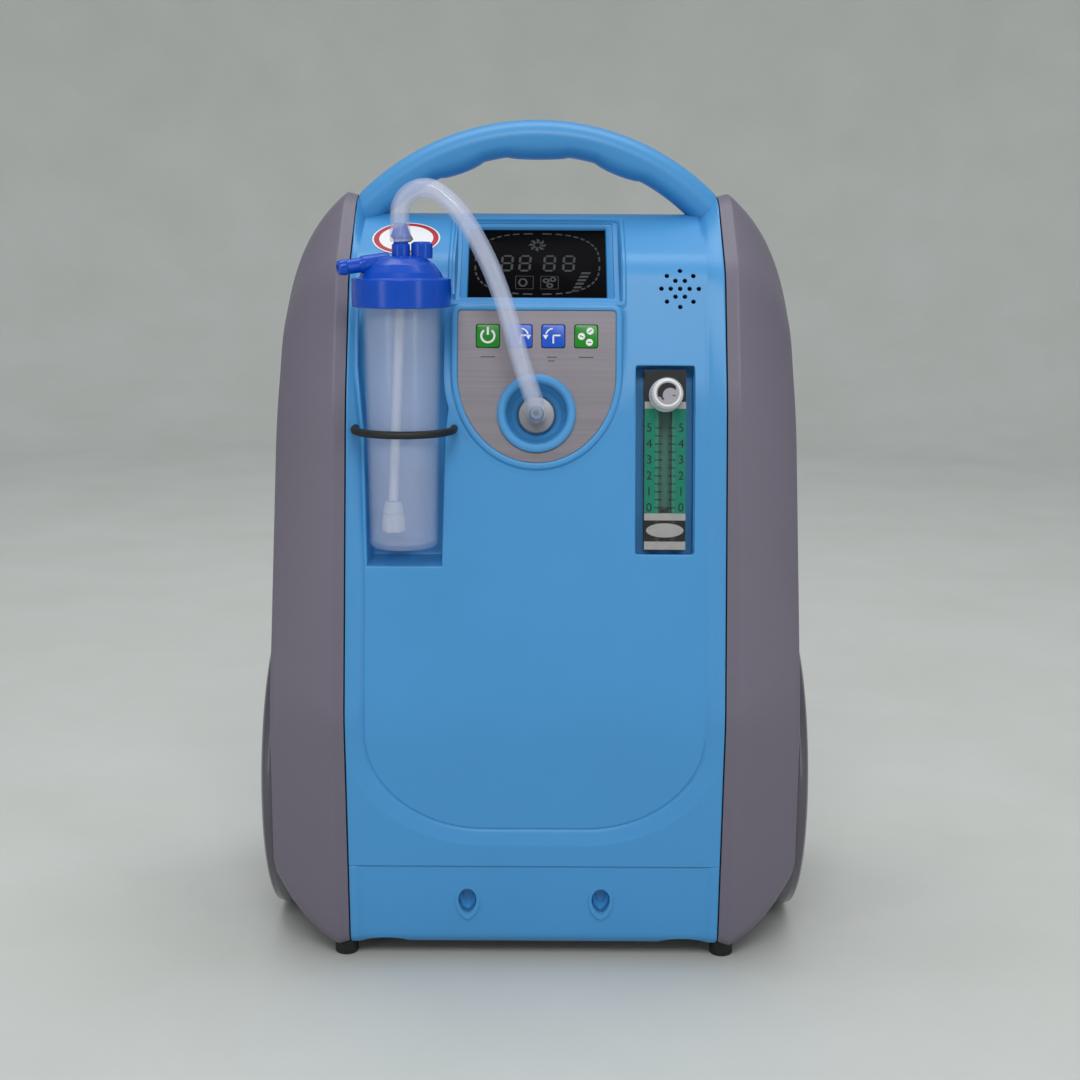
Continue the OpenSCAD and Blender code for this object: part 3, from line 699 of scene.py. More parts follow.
def wall_share(sd, lip, draft=0.25):
    """(lip depth, inside share) of a sunk shape at signed distance sd inside its edge."""
    t = np.clip((sd + lip) / lip, 0, 1)
    return lip * (1 - np.sqrt(1 - t ** 2)), np.clip(sd / draft, 0, 1)


def cover_grid(name, xs, ys, zs, thick=2.6):
    """A sheet of vertices given as three arrays, thickened inwards."""
    rows, cols = xs.shape
    verts = np.stack([xs, ys, zs], 2).reshape(-1, 3)
    faces = [(i * cols + j, i * cols + j + 1, (i + 1) * cols + j + 1, (i + 1) * cols + j)
             for i in range(rows - 1) for j in range(cols - 1)]
    obj = loose(name, verts, faces)
    # the sheet's faces look away from the casing's middle
    middle = Vector((0, 0, 0.24))
    bm = bmesh.new()
    bm.from_mesh(obj.data)
    votes = sum(f.normal.dot(f.calc_center_median() - middle) * f.calc_area() for f in bm.faces)
    if votes < 0:
        bmesh.ops.reverse_faces(bm, faces=bm.faces)
    bm.to_mesh(obj.data)
    bm.free()
    m = obj.modifiers.new("wall", "SOLIDIFY")
    m.thickness, m.offset, m.use_even_offset = thick * MM, -1.0, False
    bpy.context.view_layer.update()
    return apply_modifiers(obj)


FLOW = on_face(79.9, -86.6, 323.5, 10.5)
PLATE_AT = on_face(0, -76.4, 375, 13)
SCREEN = on_face(0, -23, 441.7, 46)


def to_world(at, x, y, z):
    m = np.array(at)
    return [m[i, 0] * x + m[i, 1] * y + m[i, 2] * z + m[i, 3] for i in range(3)]


def to_local(at, x, y, z):
    return to_world(at.inverted(), x, y, z)


def pushed(at, hit, local, points):
    """The points, moved to their new local places where hit is true."""
    return [np.where(hit, new, old) for new, old in zip(to_world(at, *local), points)]


def plate_outline(d=0.0, n=40, corner=2.5):
    """The control plate's D: straight above, half an ellipse below. d grows it."""
    a, b, top = 49 + d, 54.7 + d, 40 + d
    r = corner + max(d, 0)
    upper = fillets([(a, 0), (a, top), (-a, top), (-a, 0)], [0, r, r, 0], 5)
    t = np.linspace(math.pi, 2 * math.pi, n + 1)
    lower = np.column_stack([a * np.cos(t), b * np.sin(t)])
    side = np.column_stack([np.full(4, a), np.linspace(0, top - 10, 6)[1:5]])
    left = side[::-1] * [-1, 1]
    return np.vstack([lower[:-1], lower[-1:], side, upper[1:-1], left])


FRONT_TURN = 430.0
rim_front, core_front = Side(RIM, True, FRONT_TURN), Side(CORE, True, FRONT_TURN)
BACK_TURN = 380.0
rim_back, core_back = Side(RIM, False, BACK_TURN), Side(CORE, False, BACK_TURN)


def pocket_left(z):
    return np.interp(z, [258, 340, 380, 500], [-104.4, -106.8, -111, -111])


def pocket_right(z):
    return np.interp(z, [258, 340, 380, 410, 424], [-58.2, -56.5, -51.5, -50.5, -58])


def crease_left(z):
    return np.interp(z, [250, 340, 380], [105.6, 108.6, 113.0])


def core_y(z):
    return np.interp(z, core_front.heights, core_front.ys)


LIP = 0.9
POCKET_FLOOR = 258
RECESS_FLOOR = 266
SEAM_ROUND = 0.9


def seam_drop(xs):
    """How far the skin rounds back beside the seam."""
    seam = np.clip((np.abs(xs) - (HALF - SEAM_ROUND)) / SEAM_ROUND, 0, 1)
    return SEAM_ROUND * (1 - np.sqrt(1 - seam ** 2))


def floor_rows(z):
    """Row heights about the lower edge of a sunk shape."""
    return [z - LIP, z - 0.7 * LIP, z - 0.38 * LIP, z - 0.1, z, z + 0.25, z + 1, z + 2.5]


def front_surface():
    """The front cover's outer skin as three arrays."""
    # columns: guide lines that move with height, with knots about each
    offsets = [-LIP, -0.7 * LIP, -0.38 * LIP, -0.12 * LIP, 0, 0.25, 0.9, 2.2, 3.6]
    crease = [-3.2, -2.2, -1.3, -0.5, 0.3, 1.4, 2.6]
    cols = []  # (guide a, guide b, share, offset)
    guides = {
        "edge_l": lambda z: np.full_like(z, -HALF), "crease_l": lambda z: -crease_left(z),
        "pocket_l": pocket_left, "pocket_r": pocket_right,
        "recess_l": lambda z: np.full_like(z, 61.7), "recess_r": lambda z: np.full_like(z, 98.1),
        "crease_r": lambda z: np.full_like(z, BAND_IN), "edge_r": lambda z: np.full_like(z, HALF)}

    def add(guide, values):
        cols.extend((guide, guide, 0.0, v) for v in values)

    def fill(a, da, b, db, n):
        cols.extend((a, b, k / n, (da, db)) for k in range(1, n))

    add("edge_l", [0, 0.12, 0.4, 0.9, 1.6])
    fill("edge_l", 1.6, "crease_l", -2.6, 4)
    add("crease_l", [-2.6, -1.4, -0.6, -0.1, 0.15])
    add("pocket_l", offsets)
    fill("pocket_l", 3.6, "pocket_r", -3.6, 12)
    add("pocket_r", [-v for v in offsets[::-1]])
    fill("pocket_r", LIP, "recess_l", -LIP, 44)
    add("recess_l", offsets)
    fill("recess_l", 3.6, "recess_r", -3.6, 8)
    add("recess_r", [-v for v in offsets[::-1]])
    fill("recess_r", LIP, "crease_r", -3.2, 2)
    add("crease_r", crease)
    fill("crease_r", 2.6, "edge_r", -1.6, 4)
    add("edge_r", [-1.6, -0.9, -0.4, -0.12, 0])

    # rows: the U-shaped step bends the low ones; the rest are level
    floor = floor_rows(POCKET_FLOOR) + [POCKET_FLOOR + 4]
    low = floor_rows(RECESS_FLOOR)
    top = [379, 380, 380.75, 381, 381.1, 381 + 0.38 * LIP, 381 + 0.7 * LIP, 381 + LIP]
    level = spread([205] + floor + low + top + [FRONT_TURN], 3.4)
    level = level[level > 205.01]
    over = np.linspace(0, 1, 34)[1:]
    shares_up = [0, 0.012, 0.035] + list(np.linspace(0.035, 1, 10)[1:])
    shares_band = [0.02, 0.05, 0.09] + list(np.linspace(0.09, 0.8, 6)[1:]) + [0.86, 0.92, 0.97, 1.0]
    shares_high = [0.01, 0.03, 0.06] + list(np.linspace(0.06, 1, 14)[1:])
    bent = len(shares_up) + len(shares_band) + len(shares_high)
    xs, ys, zs = np.zeros((3, bent + len(level) + len(over), len(cols)))
    for j, (ga, gb, share, off) in enumerate(cols):
        da, db = off if isinstance(off, tuple) else (off, off)

        def across(z):
            z = np.asarray(z, float)
            return (guides[ga](z) + da) * (1 - share) + (guides[gb](z) + db) * share

        x0 = float(across(np.array([200.0]))[0])
        lo = step_height(x0, STEP_OUTER)
        hi = max(step_height(x0, STEP_INNER), lo + 0.6)
        column = [67.2 + (lo - 67.2) * s for s in shares_up]
        column += [lo + (hi - lo) * s for s in shares_band]
        column += [hi + (205 - hi) * s for s in shares_high]
        column = np.array(column[:bent] + list(level))
        z = np.concatenate([column, np.full(len(over), FRONT_TURN)])
        g = np.concatenate([np.full(len(column), -1.0), over])
        zs[:, j] = z
        xs[:, j] = across(np.where(g >= 0, FRONT_TURN + g * 50, z))
        ys[:, j] = g
    g, z = ys.copy(), zs.copy()
    rim_y, rim_z = rim_front.at(z, g)
    core_yy, core_z = core_front.at(z, g)
    crease_at = np.where(xs < 0, crease_left(np.where(g >= 0, FRONT_TURN + 60, z)), BAND_IN)
    share = step_share(xs, np.where(g >= 0, 999, z), True, crease_at)
    y = rim_y + (core_yy - rim_y) * share
    zz = rim_z + (core_z - rim_z) * share
    # narrow line beside the seam below the step
    line = np.exp(-((np.abs(xs) - 115.4) / 0.5) ** 2) * np.clip((150 - z) / 20, 0, 1) * 0.5
    y += line + seam_drop(xs)
    # bottle pocket
    sd = np.minimum(np.minimum(xs - pocket_left(z), pocket_right(z) - xs), z - POCKET_FLOOR)
    sd = np.where((g >= 0) | (z > 424), -9, sd)
    lip, inside = wall_share(sd, LIP)
    back = -64 - 2.6 * (1 - np.sqrt(1 - (1 - np.clip((sd - 0.25) / 2.6, 0, 1)) ** 2))
    deep = np.maximum(back, y)
    blend = np.clip((z - 396) / 26, 0, 1)
    y = np.where(inside > 0, y + (deep - y) * inside, y + lip * (1 - blend) * (sd > -LIP))
    # flowmeter recess
    lx, ly, lz = to_local(FLOW, xs, y, zz)
    r = 2.0
    qx, qy = np.abs(lx) - (18.2 - r), np.abs(ly) - (58.5 - r)
    corner = np.sqrt(np.clip(qx, 0, None) ** 2 + np.clip(qy, 0, None) ** 2)
    sd = r - corner - np.minimum(np.maximum(qx, qy), 0)
    sd = np.where(g >= 0, -9, sd)
    lip, inside = wall_share(sd, LIP)
    new_z = np.where(inside > 0, lz + (-17 - lz) * inside, lz - lip * (sd > -LIP))
    xs, y, zz = pushed(FLOW, sd > -LIP, (lx, ly, new_z), (xs, y, zz))
    # hollow behind the plate
    lx, ly, lz = to_local(PLATE_AT, xs, y, zz)
    inner = np.where(ly > 0, np.maximum(np.abs(lx) / 46.0, ly / 37.0),
                     np.sqrt((lx / 46.0) ** 2 + (ly / 51.5) ** 2))
    hit = (inner < 1) & (np.abs(xs) < 47)
    xs, y, zz = pushed(PLATE_AT, hit, (lx, ly, np.full_like(lz, -30.0)), (xs, y, zz))
    # hollow behind the display
    lx, ly, lz = to_local(SCREEN, xs, y, zz)
    hit = (np.abs(lx) < 50.5) & (ly > -44) & (ly < 33.5) & (~hit) & (lz > -6)
    return pushed(SCREEN, hit, (lx, ly, np.full_like(lz, -12.0)), (xs, y, zz))


def disc_cutters(name, spots, r, at, low, high, n=14):
    return loose(name, *joined([prism(ellipse(r, r, n, x, y), low, high, at) for x, y in spots]))


speaker_at = on_face(89.4, -56, 427, 18)
speaker_spots = [(0, 0), *ellipse(5.9, 5.9, 6), *ellipse(11.7, 11.7, 8)]
cover = cover_grid("front_cover_skin", *front_surface())
cut(cover, [disc_cutters("speaker_cut", speaker_spots, 1.5, speaker_at, -12, 12)])
settle(cover, BLUE, "casing", ("front_cover",), 40)


def lower_surface():
    """The lower panel's skin, with its raised edge strips and the two arches under it."""
    knots = [0, 30, 104.8, 106, 108, 110, 111.5, 113, 114, 115.4, 116, 116.7, 117.1, 117.48, HALF]
    half = spread(knots, 3.0)
    xk = np.concatenate([-half[::-1], half[1:]])
    zk = spread([12, 13, 15, 18, 30, 66.0, 66.5, 66.8], 2.6)
    xs, z = np.meshgrid(xk, zk)
    ax = np.abs(xs)
    arch = 3.4 * np.sqrt(np.clip(1 - ((ax - 95) / 13.5) ** 2, 0, 1))
    share = (z - 12) / (66.8 - 12)
    z = z + arch * (1 - share) ** 2
    y = np.interp(z, rim_front.heights, rim_front.ys)
    y = np.where(z < 12.5, np.interp(12.5, rim_front.heights, rim_front.ys), y)
    y += 1.5 * ease((113.5 - ax) / 4.5)
    y += seam_drop(xs) + 0.5 * ease((z - 66.2) / 0.6)
    return xs, y, z


def teardrop(x, n=36):
    """The screw recess's outline: round above and pointed below."""
    t = np.linspace(0, 2 * math.pi, n, endpoint=False)
    return np.column_stack([x + 5.9 * np.cos(t) * np.where(np.sin(t) < 0, 1 - 0.25 * np.sin(t) ** 2, 1),
                            43 + np.where(np.sin(t) > 0, 7.6, 9.6) * np.sin(t)])


lower = cover_grid("lower_panel_skin", *lower_surface())
upright = on_face(0, 0, 0, 0)


def screw_cutter(x):
    """The recess: flared at the face, with a sloped floor."""
    o = teardrop(x)
    c = np.array([x, 45.0])
    rings = [(1.16, 118.0), (1.0, 109.0), (0.86, 107.0), (0.5, 100.0)]
    n = len(o)
    rows = [place(np.column_stack([(o - c) * k + c, np.full(n, d)]), upright) for k, d in rings]
    return loose("screw_cut", np.concatenate(rows), skin(len(rows), n))


cut(lower, [screw_cutter(x) for x in (-42.5, 42.5)])
settle(lower, BLUE, "casing", ("lower_front_panel",), 40)
for x, word in ((-42.5, "left"), (42.5, "right")):
    o = teardrop(x)
    well = loose(word + "_screw_well", *prism((o - [x, 45]) * 1.3 + [x, 45], 96, 109.2, upright))
    cut(well, [screw_cutter(x)])
    settle(well, BLUE, "casing", (), 40)


def back_surface():
    """The rear cover's skin, from the crest's joint down to the base."""
    half = spread([0, 98, 102, 103.5, 104.6, 105.6, 107, 109, 116, 116.7, 117.1, 117.48, HALF], 5.0)
    xk = np.concatenate([-half[::-1], half[1:]])
    level = spread([16.6, 17.2, 18, 30, 36, 40, 42, 48, BACK_TURN], 6.0)
    over = np.linspace(0, 1, 44)[1:]
    z = np.concatenate([level, np.full(len(over), BACK_TURN)])
    g = np.concatenate([np.full(len(level), -1.0), over])
    xs, z = np.meshgrid(xk, z)
    g = np.repeat(g[:, None], xs.shape[1], 1)
    rim_y, rim_z = rim_back.at(z, g)
    core_yy, core_z = core_back.at(z, g)
    share = step_share(xs, z, False, BAND_IN)
    share = share * np.where(g >= 0, 1, ease((z - 36) / 6))
    y, zz = rim_y + (core_yy - rim_y) * share, rim_z + (core_z - rim_z) * share
    return xs, y - seam_drop(xs), zz


def block(x0, x1, y0, y1, z0, z1, r=0.0):
    """A box cutter by its corners, with rounded edges along y."""
    o = box_outline(x1 - x0, z1 - z0, r, 4, (x0 + x1) / 2, (z0 + z1) / 2)
    return prism(o, -y1, -y0, upright)


back = cover_grid("rear_cover_skin", *back_surface(), 3.0)
vent_slots = joined([block(i * 11 - 3, i * 11 + 3, 100, 140, 60, 150, 2) for i in range(-6, 7)])
back_cuts = [loose("vents", *vent_slots),
             loose("door_hole", *block(-60.6, 60.6, 100, 140, 260, 339.5, 1)),
             loose("inlet_hole", *block(68.5, 97.5, 100, 140, 48, 84, 1)),
             loose("button_hole", *lathe([(6.4, 0), (6.4, 40)], 40, on_face(83, 140, 112, 0), False)),
             loose("grip_notch", *block(-78, 78, 86, 140, 402, 500, 4))]
cut(back, back_cuts)
settle(back, BLUE, "casing", ("rear_cover",), 40)
well_outline = [(-80, 84), (80, 84), (80, 113), (-80, 113)]
well = loose("grip_well", *prism(fillets(well_outline, 3, 4, True), 399.2, 448))
well_inside = fillets([(-78, 86), (78, 86), (78, 140), (-78, 140)], 3, 4, True)
tube_holes = [lathe([(7.6, 380), (7.6, 420)], 32, shift(x, 100, 0), False) for x in (-58, 58)]
cut(well, [loose("well_cut", *prism(well_inside, 402, 500)), loose("tube_cut", *joined(tube_holes))])
crest_cut = rounded(CORE, 0, 12, 4)
outside = [(y, z) for y, z in crest_cut if z > 300 and y > 16]
outer = sorted(outside, key=lambda p: p[0])
above = [(16, 474 - 1.2)] + [(y - 0.5, z - 1.2) for y, z in outer] + [(200, 300), (200, 520), (16, 520)]
sideways = Matrix(((0, 0, 1, 0), (1, 0, 0, 0), (0, 1, 0, 0), (0, 0, 0, 1)))
roof = prism(np.array(above), -90, 90, sideways)
cut(well, [loose("roof_cut", *roof)])
settle(bevelled(well, 0.5, 40), BLUE, "casing", (), 40)


# ---------------------------------------------------------------- side shells
def shell_solid(name, inset=0.0, side=1):
    """The shell between its seam and the wheel face, as a closed solid on one side."""
    keys = [(118.4, rounded(RIM, -inset), 0.0),
            (125.6, rounded(RIM, 2.0 - inset), 0.0),
            (153.0 - inset, rounded(MID, -inset), 0.0),
            (169.5 - inset, rounded(EDGE, -inset), 1.0)]
    n = len(keys[0][1])
    loops = []
    for x, o, tilt in keys:
        px = np.full(n, x) - (o[:, 1] * 0.01745 if tilt else 0)
        loops.append(np.column_stack([px, o]))
    a, b, c, d = loops
    rows = []
    for t in (0.0, 0.06, 0.5, 0.86, 0.95):  # the bevel beside the seam
        rows.append(a + (b - a) * t)
    tc = 0.62  # the middle loop sits this far along

    def bend(t):
        return (b * ((t - tc) * (t - 1) / tc) + c * (t * (t - 1) / (tc * (tc - 1)))
                + d * (t * (t - tc) / (1 - tc)))

    for t in (0.008, 0.03, 0.07, 0.14, 0.22, 0.30, 0.38, 0.46, 0.54, 0.62, 0.70, 0.78, 0.85, 0.91, 0.96):
        rows.append(bend(t))
    for rise, pull in ((0.0, 0.0), (0.5, 1.5), (0.75, 3.4), (0.8, 6.0)):
        o = rounded(EDGE, -inset - pull)
        rows.append(np.column_stack([169.5 - inset - o[:, 1] * 0.01745 - 0.8 + rise, o]))
    verts = np.concatenate(rows) * [side, 1, 1]
    return loose(name, verts, skin(len(rows), n))


AXLE = (0, 9, 101)


def across(side):
    """Local z runs outward along x at the axle."""
    return shift(*AXLE) @ tilted(90 * side, "Y")


for side, word in ((-1, "left"), (1, "right")):
    shell = shell_solid(word + "_shell_skin", 0.0, side)
    hollow = shell_solid("hollow", 3.2, side)
    cut(shell, [loose("arch_space", *lathe([(105, 140), (105, 143), (105, 190)], 160, across(side),
                                           False))])
    cut(hollow, [loose("bulk", *lathe([(108.5, 136.6), (108.5, 200)], 96, across(side), False))])
    cut(shell, [hollow])
    settle(shell, GREY, "casing", (word + "_side_shell",), 28)

# ---------------------------------------------------------------- wheels
for side, word in ((-1, "left"), (1, "right")):
    at = shift(side * 148, 0, 0) @ across(side)
    body = word + "_wheel"
    tyre = fillets([(86, 3), (94, 0.2), (98, 1), (101, 5), (101, 22), (99.6, 26.3), (96.5, 28), (90, 27.4),
                    (86, 25)], [0, 2, 2, 3, 4, 1.6, 2.2, 3, 0], 4, True)
    piece(word + "_tyre_body", *lathe(tyre, 200, at), TYRE, body, (word + "_tyre",), "tyre_rubber", 50)
    refined(word + "_wheel_hub", GREY, 1.2, 40, word + "_hub_body")
    refined(word + "_hub_cap", DARK, 0.8, 40, word + "_cap_body")
    nuts = loose("nut", *prism(ellipse(2.4, 2.4, 6), 0, 2.2))
    ring = pattern(word + "_hub_screws", nuts, STEEL, 5, "ring", radius=20.5)
    moved(ring, at @ shift(0, 0, 24.6) @ Matrix.Rotation(0.63, 4, "Z"))
    settle(ring, None, body, ())

# ---------------------------------------------------------------- carry handle
def handle():
    """The arch, with three finger swells under it and a parting line round it."""
    sides = 40
    rows = []
    turns = np.concatenate([np.linspace(-50, -40, 12), np.linspace(-40, 40, 121)[1:-1],
                            np.linspace(40, 50, 12)])
    for phi in np.radians(turns):
        c = np.array([157.5 * math.sin(phi), 16.0, 365 + 157.5 * math.cos(phi)])
        out = np.array([math.sin(phi), 0, math.cos(phi)])
        ring = []
        x = c[0]
        swell = 0.0
        for lo, hi in ((-69, -39), (-21, 21), (41, 72)):
            t = (x - lo) / (hi - lo)
            if 0 < t < 1:
                swell = 2.7 * math.sin(math.pi * t) ** 0.6
        for k in range(sides):
            a = 2 * math.pi * k / sides
            sx, sy = math.sin(a), math.cos(a)
            dy = 15.0 * abs(sx) ** 0.9 * np.sign(sx)
            dr = 11.5 * abs(sy) ** 0.95 * np.sign(sy)
            if sy < 0:
                dr -= swell * (-sy) ** 0.7
            groove = 0.45 * math.exp(-((sy + 0.12) / 0.035) ** 2)
            p = c + out * dr + np.array([0, 1.0, 0]) * (dy - groove * np.sign(sx))
            p[0] = min(max(p[0], -HALF), HALF)
            ring.append(p)
        rows.append(ring)
    return np.array(rows).reshape(-1, 3), skin(len(rows), sides)


piece("handle_arch", *handle(), BLUE, "casing", ("carry_handle",), "blue_case", 45)


# ---------------------------------------------------------------- console
def surface_height(at, z_from=300):
    """The core's height above a tilted face's plane, by local y."""
    zs = np.linspace(z_from, FRONT_TURN, 200)
    pts = [(core_y(z), z) for z in zs]
    pts += [tuple(p) for p in core_front.over]
    pts.append((80.0, 474.0))
    pts = np.array(pts)
    ly, lz = to_local(at, np.zeros(len(pts)), pts[:, 0], pts[:, 1])[1:]
    order = np.argsort(ly)
    return lambda o: np.interp(o[:, 1], ly[order], lz[order])


plate_level = surface_height(PLATE_AT)
screen_level = surface_height(SCREEN)
rim_section = [(-0.6, -12.0), (-0.6, -1.25), (0.15, -1.25), (0.15, 0.55), (0.45, 0.9), (0.9, 1.05),
               (2.9, 1.0), (3.5, 0.8), (3.95, 0.3), (4.2, -0.5),
               (4.5, lambda o: plate_level(o) * 0.55 - 0.6), (5.2, lambda o: plate_level(o) * 0.85 - 0.3),
               (6.6, plate_level), (8.6, lambda o: plate_level(o) - 0.28),
               (8.6, lambda o: plate_level(o) - 6)]
piece("plate_rim", *ring_band(plate_outline(), rim_section, PLATE_AT), BLUE, slot="blue_case", angle=45)

# the stepped frame round the display
def screen_outline(w, top, bottom, r):
    return fillets([(-w, -bottom), (w, -bottom), (w, top), (-w, top)], [r, r, r, r], 4, True)


def bezel():
    """Rings from the casing's face down to the window, each (half width, top, bottom, height, radius)."""
    def level(lift):
        return lambda o: np.maximum(screen_level(o) + lift, -1.0)
    specs = [
        (56.2, 36.2, 47.0, level(-9.0), 3), (56.2, 36.2, 46.2, level(-0.4), 3),
             (55.6, 35.6, 45.4, level(0.75), 3),
        (54.9, 35.0, 44.8, level(1.25), 3), (53.6, 34.2, 44.0, level(1.1), 2.4),
             (53.0, 33.9, 43.4, level(0.3), 2.2),
        (51.6, 33.5, 42.4, lambda o: np.minimum(screen_level(o) - 1.2,
                                                np.interp(o[:, 1], [-45, -30, 34], [8.0, 7.4, 4.6])), 2),
        (48.8, 32.9, 37.0, lambda o: np.interp(o[:, 1], [-45, -30, 34], [6.6, 6.2, 4.0]), 1.6),
        (48.4, 32.6, 36.4, lambda o: np.interp(o[:, 1], [-45, -30, 34], [5.0, 4.6, 3.0]), 1.2),
        (45.2, 31.4, 32.4, lambda o: np.full(len(o), 2.2), 0.8),
             (44.6, 31.0, 31.6, lambda o: np.full(len(o), 1.7), 0.6),
        (44.1, 30.6, 30.9, lambda o: np.full(len(o), -0.1), 0.4),
             (44.1, 30.6, 30.9, lambda o: np.full(len(o), -3.0), 0.4)]
    rows = []
    for w, top, bottom, height, r in specs:
        o = screen_outline(w, top, bottom, r)
        # extra points along the long sides, so that the frame follows the face
        dense = []
        for k in range(len(o)):
            a, b = o[k], o[(k + 1) % len(o)]
            n = 16 if np.linalg.norm(b - a) > 20 else 1
            dense += [a + (b - a) * i / n for i in range(n)]
        o = np.array(dense)
        rows.append(np.column_stack([o, height(o)]))
    return place(np.concatenate(rows), SCREEN), skin(len(rows), len(rows[0]), True)


piece("display_bezel", *bezel(), BLUE, slot="blue_case", angle=30)
piece("display_glass", *prism(box_outline(88, 61, 0.6), -2, 0, SCREEN, 0.3), GLASS, "casing",
      ("display_window",), "display_glass")


def bars(items, low, high, at):
    return joined([prism(np.array(o, float), low, high, at) for o in items])


def seven(x, y, w, h, t, lean=0.06):
    """The seven bars of a digit."""
    def bar(x0, y0, x1, y1):
        d = np.array([x1 - x0, y1 - y0], float)
        d /= np.linalg.norm(d)
        n = np.array([-d[1], d[0]]) * t / 2
        a, b = np.array([x0, y0]) + d * 0.5, np.array([x1, y1]) - d * 0.5
        pts = [a + d * t / 2 + n, b - d * t / 2 + n, b, b - d * t / 2 - n, a + d * t / 2 - n, a]
        return [(x + px + lean * py, y + py) for px, py in pts]
    w2, h2 = w / 2, h / 2
    return [bar(-w2, h2, w2, h2), bar(-w2, 0, w2, 0), bar(-w2, -h2, w2, -h2), bar(-w2, 0, -w2, h2),
            bar(w2, 0, w2, h2), bar(-w2, -h2, -w2, 0), bar(w2, -h2, w2, 0)]


graphics = []
for k in range(40):
    a0, a1 = 2 * math.pi * (k + 0.18) / 40, 2 * math.pi * (k + 0.82) / 40
    def oval(a, r):
        c, s = math.cos(a), math.sin(a)
        return ((40.5 - r) * np.sign(c) * abs(c) ** 0.72, (27.5 - r) * np.sign(s) * abs(s) ** 0.72)
    graphics.append([oval(a0, 0), oval(a1, 0), oval(a1, 1.1), oval(a0, 1.1)])
for x in (-19.5, -8.0, 7.8, 20.2):
    graphics += seven(x, 0.2, 6.6, 13.0, 1.5)
for k in range(6):
    x, y = 31.5 - k * 1.5, -7.5 - k * 3.1
    graphics.append([(x - 3 + k * 0.3, y), (x + 3, y), (x + 2.2, y - 1.7), (x - 3.8 + k * 0.3, y - 1.7)])
for k in range(8):
    a = k * math.pi / 4
    c, s = math.cos(a), math.sin(a)
    pts = [(1.6, -0.4), (4.4, -1.6), (6.0, 0.6), (4.4, 0.5), (1.8, 0.6)]
    graphics.append([(c * px - s * py, 16.6 + s * px + c * py) for px, py in pts])
for x0 in (-8.2, 7.8):
    for dx, dy, w, h in ((0, 5.6, 11.0, 0.35), (0, -5.6, 11.0, 0.35), (5.6, 0, 0.35, 11.0),
                         (-5.6, 0, 0.35, 11.0)):
        graphics.append(box_outline(w, h, 0, 0, x0 + dx, -16.8 + dy))
ring_parts = [(ring_band(ellipse(r, r * k, 24, x, y), [(-0.6, 0.03), (0.6, 0.03), (0.6, 0.09),
                                                       (-0.6, 0.09)], SCREEN))
              for x, y, r, k in ((-9.2, -16.8, 2.4, 1.3), (5.6, -15.2, 1.6, 1), (10.0, -14.0, 1.6, 1),
                                 (8.0, -19.4, 1.6, 1))]
piece("display_marks", *joined([bars(graphics, 0.03, 0.09, SCREEN)] + ring_parts), GRAPHIC,
      slot="display_glass")
refined("display_board", BOARD, 0.0)

# plate with its openings
plate = loose("brushed_panel", *prism(plate_outline(-0.1), -1.2, 0, PLATE_AT))
KEY_X = [-30.4, -10.1, 10.2, 30.6]
holes = [loose("cup_hole", *prism(ellipse(22.5, 22.5, 96, 0, -24), -3, 2, PLATE_AT))]
holes += [loose("key_hole", *prism(box_outline(15.0, 15.0, 1.8, 4, x, 24), -3, 2, PLATE_AT)) for x in KEY_X]
cut(plate, holes)
settle(plate, PLATE, "casing", ("control_plate",))


def arc_band(r, t, a0, a1, x=0.0, y=0.0, n=20):
    a = np.radians(np.linspace(a0, a1, n))
    outer = np.column_stack([x + (r + t / 2) * np.cos(a), y + (r + t / 2) * np.sin(a)])
    inner = np.column_stack([x + (r - t / 2) * np.cos(a), y + (r - t / 2) * np.sin(a)])[::-1]
    return np.vstack([outer, inner])


def strip(x0, y0, x1, y1, t):
    d = np.array([x1 - x0, y1 - y0], float)
    d /= np.linalg.norm(d)
    n = np.array([-d[1], d[0]]) * t / 2
    a, b = np.array([x0, y0]), np.array([x1, y1])
    return np.array([a - n, b - n, b + n, a + n])


def clock(side):
    """Two hands and an arrow that turns one way or the other."""
    turned = (95, 165) if side > 0 else (15, 85)
    head = np.array([(-6.4 * side, 0.7), (-3.0 * side, 0.7), (-4.9 * side, -2.1)])
    return [strip(0, 0.4, 4.4, 0.4, 1.0), strip(0, 0.4, 0, -4.6, 1.0), arc_band(4.7, 0.9, *turned), head]


icons = {
    "power_key": [arc_band(4.1, 1.3, 125, 415), strip(0, 0.6, 0, 5.6, 1.3)],
    "time_up_key": clock(-1), "time_down_key": clock(1),
    "anion_key": [ellipse(2.2, 2.2, 24, 2.4, 3.2), ellipse(2.2, 2.2, 24, -2.9, -0.1),
                  ellipse(2.2, 2.2, 24, 2.0, -3.8)]}
key_paint = {"power_key": GREEN, "time_up_key": ROYAL_KEY, "time_down_key": ROYAL_KEY, "anion_key": GREEN}
for (key, marks), x in zip(icons.items(), KEY_X):
    at = PLATE_AT @ shift(x, 24, 0)
    cap = prism(box_outline(14.2, 14.2, 1.9, 5), -3, 0.8, at, 0.5)
    stem = lathe([(3, -9), (3, -2.6)], 32, at, False)
    slot_name = "green_key" if key_paint[key] is GREEN else "blue_key"
    piece(key + "_cap", *joined([cap, stem]), key_paint[key], key, (key,), slot_name)
    printed = bars(marks, 0.8, 0.86, at)
    piece(key + "_mark", *printed, WHITE, key, (), "label_white")
    if key == "anion_key":
        dashes = [strip(1.2, 2.4, 3.6, 4.0, 0.6), strip(-4.1, 0.4, -1.7, -0.6, 0.6),
                  strip(0.8, -3.8, 3.2, -3.8, 0.6)]
        piece(key + "_dashes", *bars(dashes, 0.85, 0.9, at), GREEN, key, (), "green_key")
legends = []
